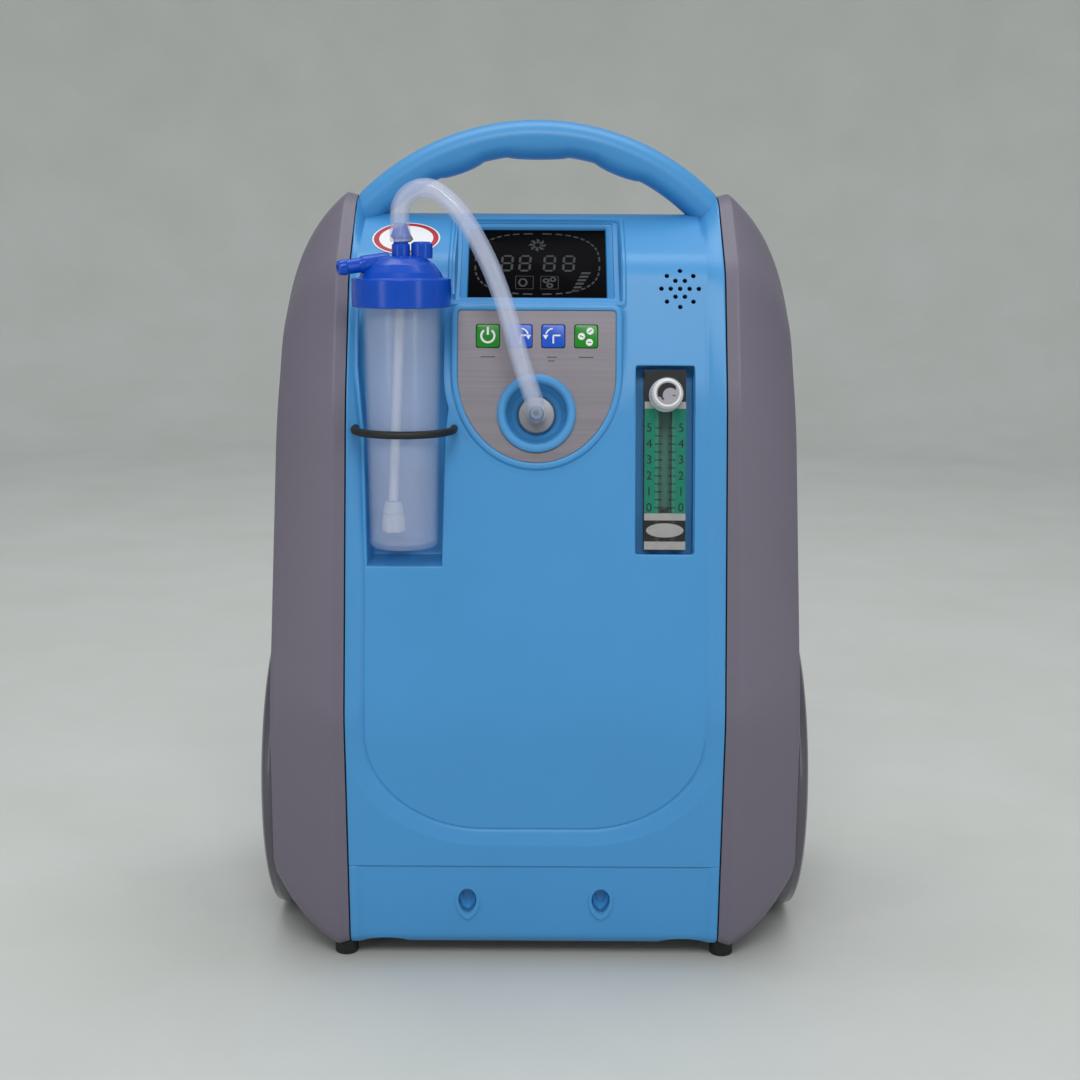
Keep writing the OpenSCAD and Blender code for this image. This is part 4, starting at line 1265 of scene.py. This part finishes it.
for x, widths in zip(KEY_X, ((9.0,), (6.0, 4.2), (6.0, 4.2), (9.0,))):
    for row, w in enumerate(widths):
        legends.append(box_outline(w, 0.55, 0, 0, x - (9 - w) / 4, 11.0 - row * 2.4))
piece("key_underlines", *bars(legends, 0.0, 0.05, PLATE_AT), INK, slot="dark_plastic")
refined("keypad_board", BOARD, 0.0)
refined("buzzer", DARK, 0.5)

cup_at = PLATE_AT @ shift(0, -24, 0)
cup = fillets([(5.2, -15), (22.2, -15), (22.2, 0.02), (24.2, 0.02), (24.4, 1.8), (23.0, 2.7), (20.3, 2.7),
               (18.9, 1.2), (18.2, -4), (15.6, -9.4), (12, -12), (5.2, -12)],
              [0, 0, 0, 0.3, 0.9, 0.9, 1.2, 1.4, 3, 3, 1.5, 0], 4, True)
piece("outlet_cup_ring", *lathe(cup, 120, cup_at), BLUE, "casing", ("outlet_cup",), "blue_case", 40)
fitting = fillets([(2, -24), (5, -24), (5, -12), (12, -12), (12, -9.8), (11, -8.8), (4.4, -8.8), (4.2, -5),
                   (4.9, -4), (4.2, -2.6), (4.7, -1.4), (3.6, 3), (2, 3)],
                  [0, 0, 0, 0.4, 0.8, 0.8, 0.6, 0.2, 0.2, 0.2, 0.2, 0.5, 0], 3, True)
piece("outlet_barb", *lathe(fitting, 64, cup_at), FITTING, "casing", ("outlet_fitting",), "fitting_metal",
      30)

# ---------------------------------------------------------------- notice disc
label_at = on_face(-84, -26, 457.15, 63.4)
piece("notice_disc", *prism(ellipse(21.7, 21.7, 96), 0, 0.3, label_at), WHITE, "casing", ("notice_label",),
      "label_white")
piece("notice_ring", *ring_band(ellipse(19.0, 19.0, 96),
                                [(-1.7, 0.28), (1.7, 0.28), (1.7, 0.36), (-1.7, 0.36)], label_at),
      RED, slot="label_white")
drop = [(0, 9.0), (3.4, 2.6), (4.6, -1.6), (3.2, -5.2), (0, -6.6), (-3.2, -5.2), (-4.6, -1.6), (-3.4, 2.6)]
piece("notice_mark", *prism(fillets(drop, 2.0, 4, True), 0.28, 0.36, label_at), INK, slot="dark_plastic")

# ---------------------------------------------------------------- flowmeter
acrylic = loose("flow_block", *prism(box_outline(26, 112, 0.8), -15, -1, FLOW, 0.6))
along_tube = FLOW @ shift(0, 0, -8) @ tilted(-90, "X")
bores = [loose("bore", *lathe([(3.2, -44), (3.2, 32)], 40, along_tube, False)),
         loose("stem_bore", *lathe([(3.05, -7), (3.05, 4)], 40, FLOW @ shift(0, 40, 0), False))]
cut(acrylic, bores)
settle(acrylic, ACRYLIC, "casing", ("flowmeter_body",))
studs = [lathe([(2, -32), (5, -32), (5, -15.2), (2, -15.2)], 40, FLOW @ shift(0, y, 0)) for y in (-40, 40)]
piece("flow_studs", *joined(studs), FITTING, slot="fitting_metal")
backing = prism(box_outline(25.4, 111.4, 0.6), -15.6, -15.05, FLOW)
piece("flow_backing", *backing, INK, slot="dark_plastic")
tubes = []
for x in (-5.0, 5.0):
    tubes.append(sweep([to_world(FLOW, x, t, -1.6) for t in np.linspace(-54, 34, 24)], 1.55, 20))
piece("flow_edge_rods", *joined(tubes), ACRYLIC, slot="clear_acrylic")
strip_plates = [prism(box_outline(8.6, 65.0, 0, 0, x, -0.6), -1.05, -0.72, FLOW) for x in (-8.5, 8.5)]
strip_plates.append(prism(box_outline(8.4, 65.0, 0, 0, 0, -0.6), -12.0, -11.5, FLOW))
piece("flow_scale_strips", *joined(strip_plates), SCALE, "casing", ("flowmeter_scale",), "scale_green")
silver = [prism(box_outline(25.6, 4.4, 0, 0, 0, y), -1.04, -0.74, FLOW) for y in (34.0, -35.2)]
silver.append(prism(box_outline(25.6, 5.0, 0, 0, 0, -53.0), -1.04, -0.74, FLOW))
piece("flow_silver_bands", *joined(silver), SILVER, slot="fitting_metal")
dark_bands = [prism(box_outline(25.6, h, 0, 0, 0, y), -1.06, -0.8, FLOW)
              for y, h in ((46.0, 19.4), (-43.8, 13.0))]
piece("flow_dark_bands", *joined(dark_bands), INK, slot="dark_plastic")
piece("flow_oval", *prism(ellipse(11.6, 4.4, 48, 0, -43.6), -0.8, -0.7, FLOW), SILVER, slot="fitting_metal")
for x, word in ((-4.2, "left"), (4.2, "right")):
    stamp = loose("tick", *prism(box_outline(4.4, 0.75), 0, 0.1))
    ticks = pattern("flow_ticks_" + word, stamp, INK, 11, "line", step=(0, 4.95, 0))
    moved(ticks, FLOW @ shift(x, -29.6, -0.72))
    settle(ticks, None, "casing", ())


def numeral(text, size, at, name, depth=0.08):
    """A printed figure as a thin closed mesh, centred."""
    curve = bpy.data.curves.new(name, "FONT")
    curve.body, curve.size, curve.extrude = text, size * MM, depth * MM
    curve.align_x, curve.align_y = "CENTER", "CENTER"
    curve.resolution_u = 3
    obj = bpy.data.objects.new(name, curve)
    SCENE.collection.objects.link(obj)
    bpy.context.view_layer.update()
    mesh = bpy.data.meshes.new_from_object(obj.evaluated_get(bpy.context.evaluated_depsgraph_get()))
    bpy.data.objects.remove(obj)
    made = bpy.data.objects.new(name, mesh)
    SCENE.collection.objects.link(made)
    moved(made, at)
    return made


figures = []
for k in range(6):
    for x in (-9.9, 9.9):
        figures.append(numeral(str(k), 7.6, FLOW @ shift(x, -29.6 + 9.9 * k, -0.66), "figure"))
verts, faces = [], []
for f in figures:
    base = len(verts)
    verts += [tuple(v.co / MM) for v in f.data.vertices]
    faces += [tuple(base + i for i in p.vertices) for p in f.data.polygons]
    bpy.data.objects.remove(f)
piece("flow_figures", verts, faces, INK, slot="dark_plastic")
float_at = FLOW @ shift(0, -32, -8) @ tilted(-90, "X")
bobbin = fillets([(0.3, -3), (2.4, -3), (2.4, -1), (1.5, -0.6), (1.5, 0.6), (2.4, 1), (2.4, 3), (0.3, 3)],
                 [0, 0.3, 0.2, 0.2, 0.2, 0.2, 0.3, 0], 3, True)
piece("float_bobbin", *lathe(bobbin, 40, float_at), INK, "flow_float", ("flowmeter_float",), "float_black")

knob_at = FLOW @ shift(0, 40, 0)
knob = fillets([(0.4, -6.5), (2.9, -6.5), (2.9, 0.4), (10.3, 0.4), (10.3, 1.4), (9.5, 2.0), (8.7, 17.2),
                (8.2, 18.4), (7.3, 18.4), (7.0, 17.7), (0.4, 17.7)],
               [0, 0, 0, 0.4, 0.4, 0.3, 0.6, 0.5, 0.4, 0.2, 0], 4, True)
piece("knob_body", *lathe(knob, 96, knob_at), KNOB, "flow_knob", ("flowmeter_knob",), "knob_white", 35)
rib_outline = np.array([(9.0, -0.42), (10.4, -0.26), (10.6, 0), (10.4, 0.26), (9.0, 0.42)])
rib_v, rib_f = prism(rib_outline, 0.9, 16.6)
rib_v = np.asarray(rib_v)
rib_v[:, 0] -= np.where(rib_v[:, 2] > 10, 0.85, 0.0)
ribs = pattern("knob_ribs", loose("rib", rib_v, rib_f), KNOB, 44, "ring", radius=0.0001)
moved(ribs, knob_at)
settle(ribs, None, "flow_knob", ())
piece("knob_disc", *prism(ellipse(6.9, 6.9, 48), 17.5, 17.95, knob_at), KNOB_FACE, "flow_knob", (),
      "knob_white")
a = np.radians(np.linspace(40, 200, 22))
crescent = np.vstack([np.column_stack([6.3 * np.cos(a), 6.3 * np.sin(a)]),
                      np.column_stack([1.5 + 4.6 * np.cos(a[::-1]), -1.4 + 4.6 * np.sin(a[::-1])])])
knob_marks = [crescent, strip(-3.9, -3.4, -2.1, -3.4, 0.6), strip(-3.0, -4.3, -3.0, -2.5, 0.6),
              strip(3.0, -1.3, 4.8, -1.7, 0.6)]
piece("knob_marks", *bars(knob_marks, 17.94, 18.02, knob_at), INK, "flow_knob", (), "float_black")

# ---------------------------------------------------------------- humidifier
# the bottle's axis and the dip tube's, as x and y
BOTTLE = (-82, -92)
DIP = (-88.4, -91)
bottle_at = shift(*BOTTLE, 270)
bottle = fillets([(0.4, 1.8), (12, 1.2), (17, 0.0), (19.6, 0), (21, 1.8), (21.6, 40), (23.3, 143),
                  (23.5, 146.4), (26, 146.6), (26, 149), (23.3, 149), (23.3, 160), (21.7, 160), (21.7, 143),
                  (19.6, 3.4), (17, 2.4), (0.4, 3.6)], [0, 2, 1, 1.2, 1.6, 0, 1, 0.3, 0.5, 0.5, 0.4, 0.3,
                                                        0.3, 0, 1.4, 1, 0], 4, True)
piece("bottle_wall", *lathe(bottle, 128, bottle_at), MILKY, "casing", ("humidifier_bottle",),
      "milky_plastic", 40)
piece("dip_tube_wall", *lathe([(2, 0), (3, 0), (3, 141), (2, 141)], 40,
                              shift(*DIP, 298) @ tilted(2.6, "Y")),
      MILKY_IN, "casing", ("dip_tube",), "milky_plastic")
stone = fillets([(0.4, 0), (6.8, 0), (6.8, 9.6), (6.1, 10.4), (6.3, 12), (5.0, 18.4), (0.4, 18.4)],
                [0, 1.4, 0.8, 0.2, 0.6, 0.8, 0], 4, True)
stone_v, stone_f = lathe(stone, 48, shift(*DIP, 279))
piece("diffuser_stone", stone_v, stone_f, MILKY_IN, "casing", ("diffuser",), "milky_plastic")
lobe = fillets([(0.3, 0), (2.6, 0), (2.6, 9), (0.3, 9)], [0, 0.8, 0.8, 0], 3, True)
lobes = pattern("diffuser_lobes", loose("lobe", *lathe(lobe, 20)), MILKY_IN, 6, "ring", radius=4.6)
moved(lobes, shift(*DIP, 278.6))
settle(lobes, None, "casing", ())

lid_at = shift(*BOTTLE, 417)
lid = fillets([(0.4, 30.5), (10, 30.5), (15, 29.2), (20, 25.8), (23.8, 21), (25.6, 17.4), (29.6, 17.2),
               (30, 16.6), (30, 0.7), (29.6, 0.2), (26.4, 0.2), (26.4, 3), (24, 3.2), (24, 14), (21, 15),
               (18, 19.5), (10, 27), (0.4, 27.5)], [0, 4, 4, 4, 3, 1.0, 0.5, 0.4, 0.4, 0.3, 0.3, 0.3, 0.5,
                                                    1, 1, 2, 2, 0], 4, True)
lid_parts = [lathe(lid, 128, lid_at)]
stem_profile = fillets([(2.2, 0), (5.6, 0), (5.5, 9.2), (4.6, 9.8), (4.2, 12.0), (6.2, 14), (3.8, 20.8),
                        (3.4, 22), (2.2, 22)], [0, 0, 0.5, 0.5, 0.4, 0.5, 0.4, 0.3, 0], 3, True)
lid_parts.append(lathe(stem_profile, 48, shift(*BOTTLE, 445)))
nozzle_at = shift(-94, -96, 443.6) @ tilted(24, "Z") @ tilted(-97, "Y")
nozzle = fillets([(2.0, -5), (5.6, -5), (5.4, 11.4), (4.6, 13), (4.4, 14), (4.4, 21.6), (4.9, 22.4),
                  (4.3, 26.2), (3.6, 27), (2.2, 27), (2.0, 26.4)],
                 [0, 0, 1, 1, 0.6, 0.4, 0.3, 0.5, 0.3, 0.3, 0], 3, True)
lid_parts.append(lathe(nozzle, 48, nozzle_at))
piece("lid_dome", *joined(lid_parts), ROYAL, "casing", ("humidifier_lid",), "royal_plastic", 38)
# painted shadow: a dark disc inside the nozzle's open bore stands in for the shade deep in the hole
bore_shadow_disc = lathe([(0.2, 18), (1.95, 18), (1.95, 18.6), (0.2, 18.6)], 24, nozzle_at)
piece("nozzle_shadow", *bore_shadow_disc, DARK, slot="dark_plastic")
cap = fillets([(0.4, -1.6), (6.5, -1.6), (6.5, 7.0), (6.0, 7.6), (5.3, 7.7), (5.1, 8.3), (0.4, 8.5)],
              [0, 0, 0.5, 0.4, 0.2, 0.3, 0], 3, True)
piece("filler_stopper", *lathe(cap, 48, shift(-69.5, -91, 447.6)), ROYAL, "casing", ("filler_cap",),
      "royal_plastic", 35)
grip_rib = loose("lid_rib", *prism(np.array([(29.6, -0.3), (30.25, -0.25), (30.25, 0.25), (29.6, 0.3)]),
                                   5.0, 12.0))
ribs = pattern("lid_ribs", grip_rib, ROYAL, 8, "ring", radius=0.0001)
moved(ribs, lid_at)
settle(ribs, None, "casing", ())

# the black strap round the bottle, its ends hooked into the face
bow = [(-81.5 + 30.5 * math.cos(t), -88 + 30.5 * math.sin(t), 342.0)
       for t in np.linspace(math.pi, 2 * math.pi, 60)]
left_end = [(-112.0, -72, 342.3), (-112.0, -78, 342.2), (-112.0, -84, 342.1)]
right_end = [(-51.0, -84, 342.1), (-51.0, -78, 342.2), (-51.0, -72, 342.3)]
piece("strap_cord", *sweep(np.array(left_end + bow + right_end), 2.4, 24), RUBBER, "casing",
      ("bottle_strap",), "black_rubber", 60)

# hose: the same points as the CAD tube
ROUTE = [(-82, -92, 456), (-82.5, -92, 467), (-82, -92.5, 476), (-78, -93, 483), (-71, -94, 487),
         (-63, -95, 487), (-55, -96, 482), (-47, -98, 474), (-38, -100, 461), (-29, -102, 444),
         (-22, -104, 427), (-16, -106, 409), (-11, -107, 391), (-6, -106, 375), (-2, -102, 363),
         (0, -94, 354.5), (0, -80, 351)]
line = smooth_path(ROUTE, 5)


def hollow_tube(path, outer, inner, sides=32):
    """An open-ended tube with a real wall, closed at its two rims."""
    n = len(path)
    grow = np.array([1.12 if s < 5 else 1.0 + 0.12 * max(0, 1 - (s - 5) / 5) for s in lengths(path)])
    ov, of = sweep(path, outer * grow, sides)
    iv = sweep(path, inner * grow, sides)[0]
    body_faces = of[:-2]
    verts = np.vstack([ov, iv])
    base = len(ov)
    faces = body_faces + [tuple(base + i for i in f[::-1]) for f in body_faces]
    for row in (0, n - 1):
        o = row * sides
        faces += [(o + k, o + (k + 1) % sides, base + o + (k + 1) % sides, base + o + k)
                  for k in range(sides)]
    return verts, faces


hose = piece("connecting_tube", *hollow_tube(line, 5.8, 4.1), HOSE, "casing", ("connecting_hose",),
             "milky_plastic", 60)

# ---------------------------------------------------------------- underside, back and working parts
feet = []
for s in (-1, 1):
    pad = fillets([(0.4, 0.0), (6.6, 0.0), (7.5, 1.0), (7.5, 9.8), (2.5, 9.8), (2.5, 18), (0.4, 18)],
                  [0, 0.6, 0.6, 0.4, 0, 0.4, 0], 3, True)
    feet.append(lathe(pad, 48, shift(s * 122, -91, 0)))
piece("rubber_feet", *joined(feet), RUBBER, "casing", ("front_feet",), "black_rubber")
FINISHES = {
    "base_tray": (DARK, 0.5), "left_axle": (STEEL, 0.4), "right_axle": (STEEL, 0.4),
    "compressor": (CASTING, 1.6), "compressor_heads": (ALLOY, 0.5), "compressor_mounts": (RUBBER, 0.5),
    "sieve_beds": (ALLOY, 1.0), "valve_block": (ALLOY, 0.8), "product_tank": (TANK, 2.0),
    "fan_frame": (DARK, 0.6), "fan_impeller": (DARK, 0.4), "control_board": (BOARD, 0.0),
    "power_supply": (STEEL, 0.8), "intake_muffler": (DARK, 2.0), "filter_pad": (FOAM, 1.0),
    "filter_door": (GREY, 0.5), "mains_inlet": (DARK, 0.5), "reset_button": (BUTTON, 0.8),
    "pull_sleeves": (STEEL, 0.3), "pull_grip": (DARK, 2.0)}
for node, (paint, width) in FINISHES.items():
    refined(node, paint, width)
for node, paint in (("cooling_coil", COPPER), ("inner_hoses", RUBBER_HOSE), ("pull_tubes", STEEL)):
    NODES[node].data.materials.clear()
    NODES[node].data.materials.append(paint)
    NODES[node].data.shade_smooth()
    NODES[node].data.set_sharp_from_angle(angle=math.radians(35))
pins = [prism(box_outline(2.0, 5.6, 0.4, 3, x, z), -109, -101.5, on_face(0, 0, 0, 0))
        for x, z in ((83, 71), (76.6, 62), (89.4, 62))]
piece("inlet_pins", *joined(pins), STEEL, slot="steel")

# ---------------------------------------------------------------- studio
floor = bpy.data.objects.new("studio_floor", bpy.data.meshes.new("studio_floor"))
SCENE.collection.objects.link(floor)


def backdrop(count=96):
    """A round floor that sweeps up into a wall, in metres."""
    profile = [(0.02, 0.0), (1.0, 0.0), (2.4, 0.0)]
    profile += [(2.4 + 1.0 * math.sin(a), 1.0 - 1.0 * math.cos(a))
                for a in np.linspace(0.1, math.pi / 2, 14)]
    profile.append((3.4, 4.2))
    verts, faces = lathe(profile, count, Matrix.Identity(4), False)
    return verts.tolist(), faces[:-1]


floor_verts, floor_faces = backdrop()
floor.data.from_pydata(floor_verts, [], floor_faces)
floor.data.shade_smooth()
cloth = Shade("studio_cloth")
weave = cloth.noise(700.0, 2.0)
tone = cloth.noise(6.0, 4.0)
mixed = cloth.node("ShaderNodeMix", {"data_type": "RGBA"}, out=2)
cloth.tree.links.new(tone.socket, mixed.socket.node.inputs[0])
mixed.socket.node.inputs[6].default_value = (0.52, 0.54, 0.51, 1)
mixed.socket.node.inputs[7].default_value = (0.62, 0.63, 0.61, 1)
weave_bump = cloth.node("ShaderNodeBump", None, Strength=0.15, Distance=0.001, Height=weave)
floor.data.materials.append(cloth.finish(mixed, 0.95, weave_bump))


def lamp(name, at, target, size, power, colour=(1, 1, 1)):
    light = bpy.data.lights.new(name, "AREA")
    light.shape, light.energy, light.color = "RECTANGLE", power, colour
    light.size, light.size_y = size
    obj = bpy.data.objects.new(name, light)
    SCENE.collection.objects.link(obj)
    obj.location = at
    obj.rotation_euler = (Vector(target) - Vector(at)).to_track_quat("-Z", "Y").to_euler()
    return obj


lamp("front_soft", (0.0, -2.3, 2.2), (0, 0, 0.25), (1.5, 0.9), 33)
lamp("strip_left", (-1.15, -1.35, 0.75), (0, 0, 0.28), (0.35, 1.3), 3.5)
lamp("strip_right", (1.15, -1.35, 0.75), (0, 0, 0.28), (0.35, 1.3), 3.5)
lamp("overhead", (0, 0.4, 2.6), (0, 0.6, 0.2), (2.4, 1.2), 26)
world = bpy.data.worlds.new("studio_air")
SCENE.world = world
world.use_nodes = True
air = world.node_tree.nodes["Background"]
air.inputs["Color"].default_value = (0.88, 0.93, 1.0, 1)
air.inputs["Strength"].default_value = 0.60

# the camera, in metres and degrees
CAMERA_AT = (0.0026, -1.1, 0.466)
CAMERA_DROP = 10.8
CAMERA_ROLL = 0.3
lens = bpy.data.cameras.new("studio_lens")
lens.lens, lens.sensor_width, lens.clip_start = 55.0, 36.0, 0.01
camera = bpy.data.objects.new("studio_camera", lens)
SCENE.collection.objects.link(camera)
camera.matrix_world = shift(*CAMERA_AT) @ tilted(90 - CAMERA_DROP, "X") @ tilted(CAMERA_ROLL, "Z")
SCENE.camera = camera
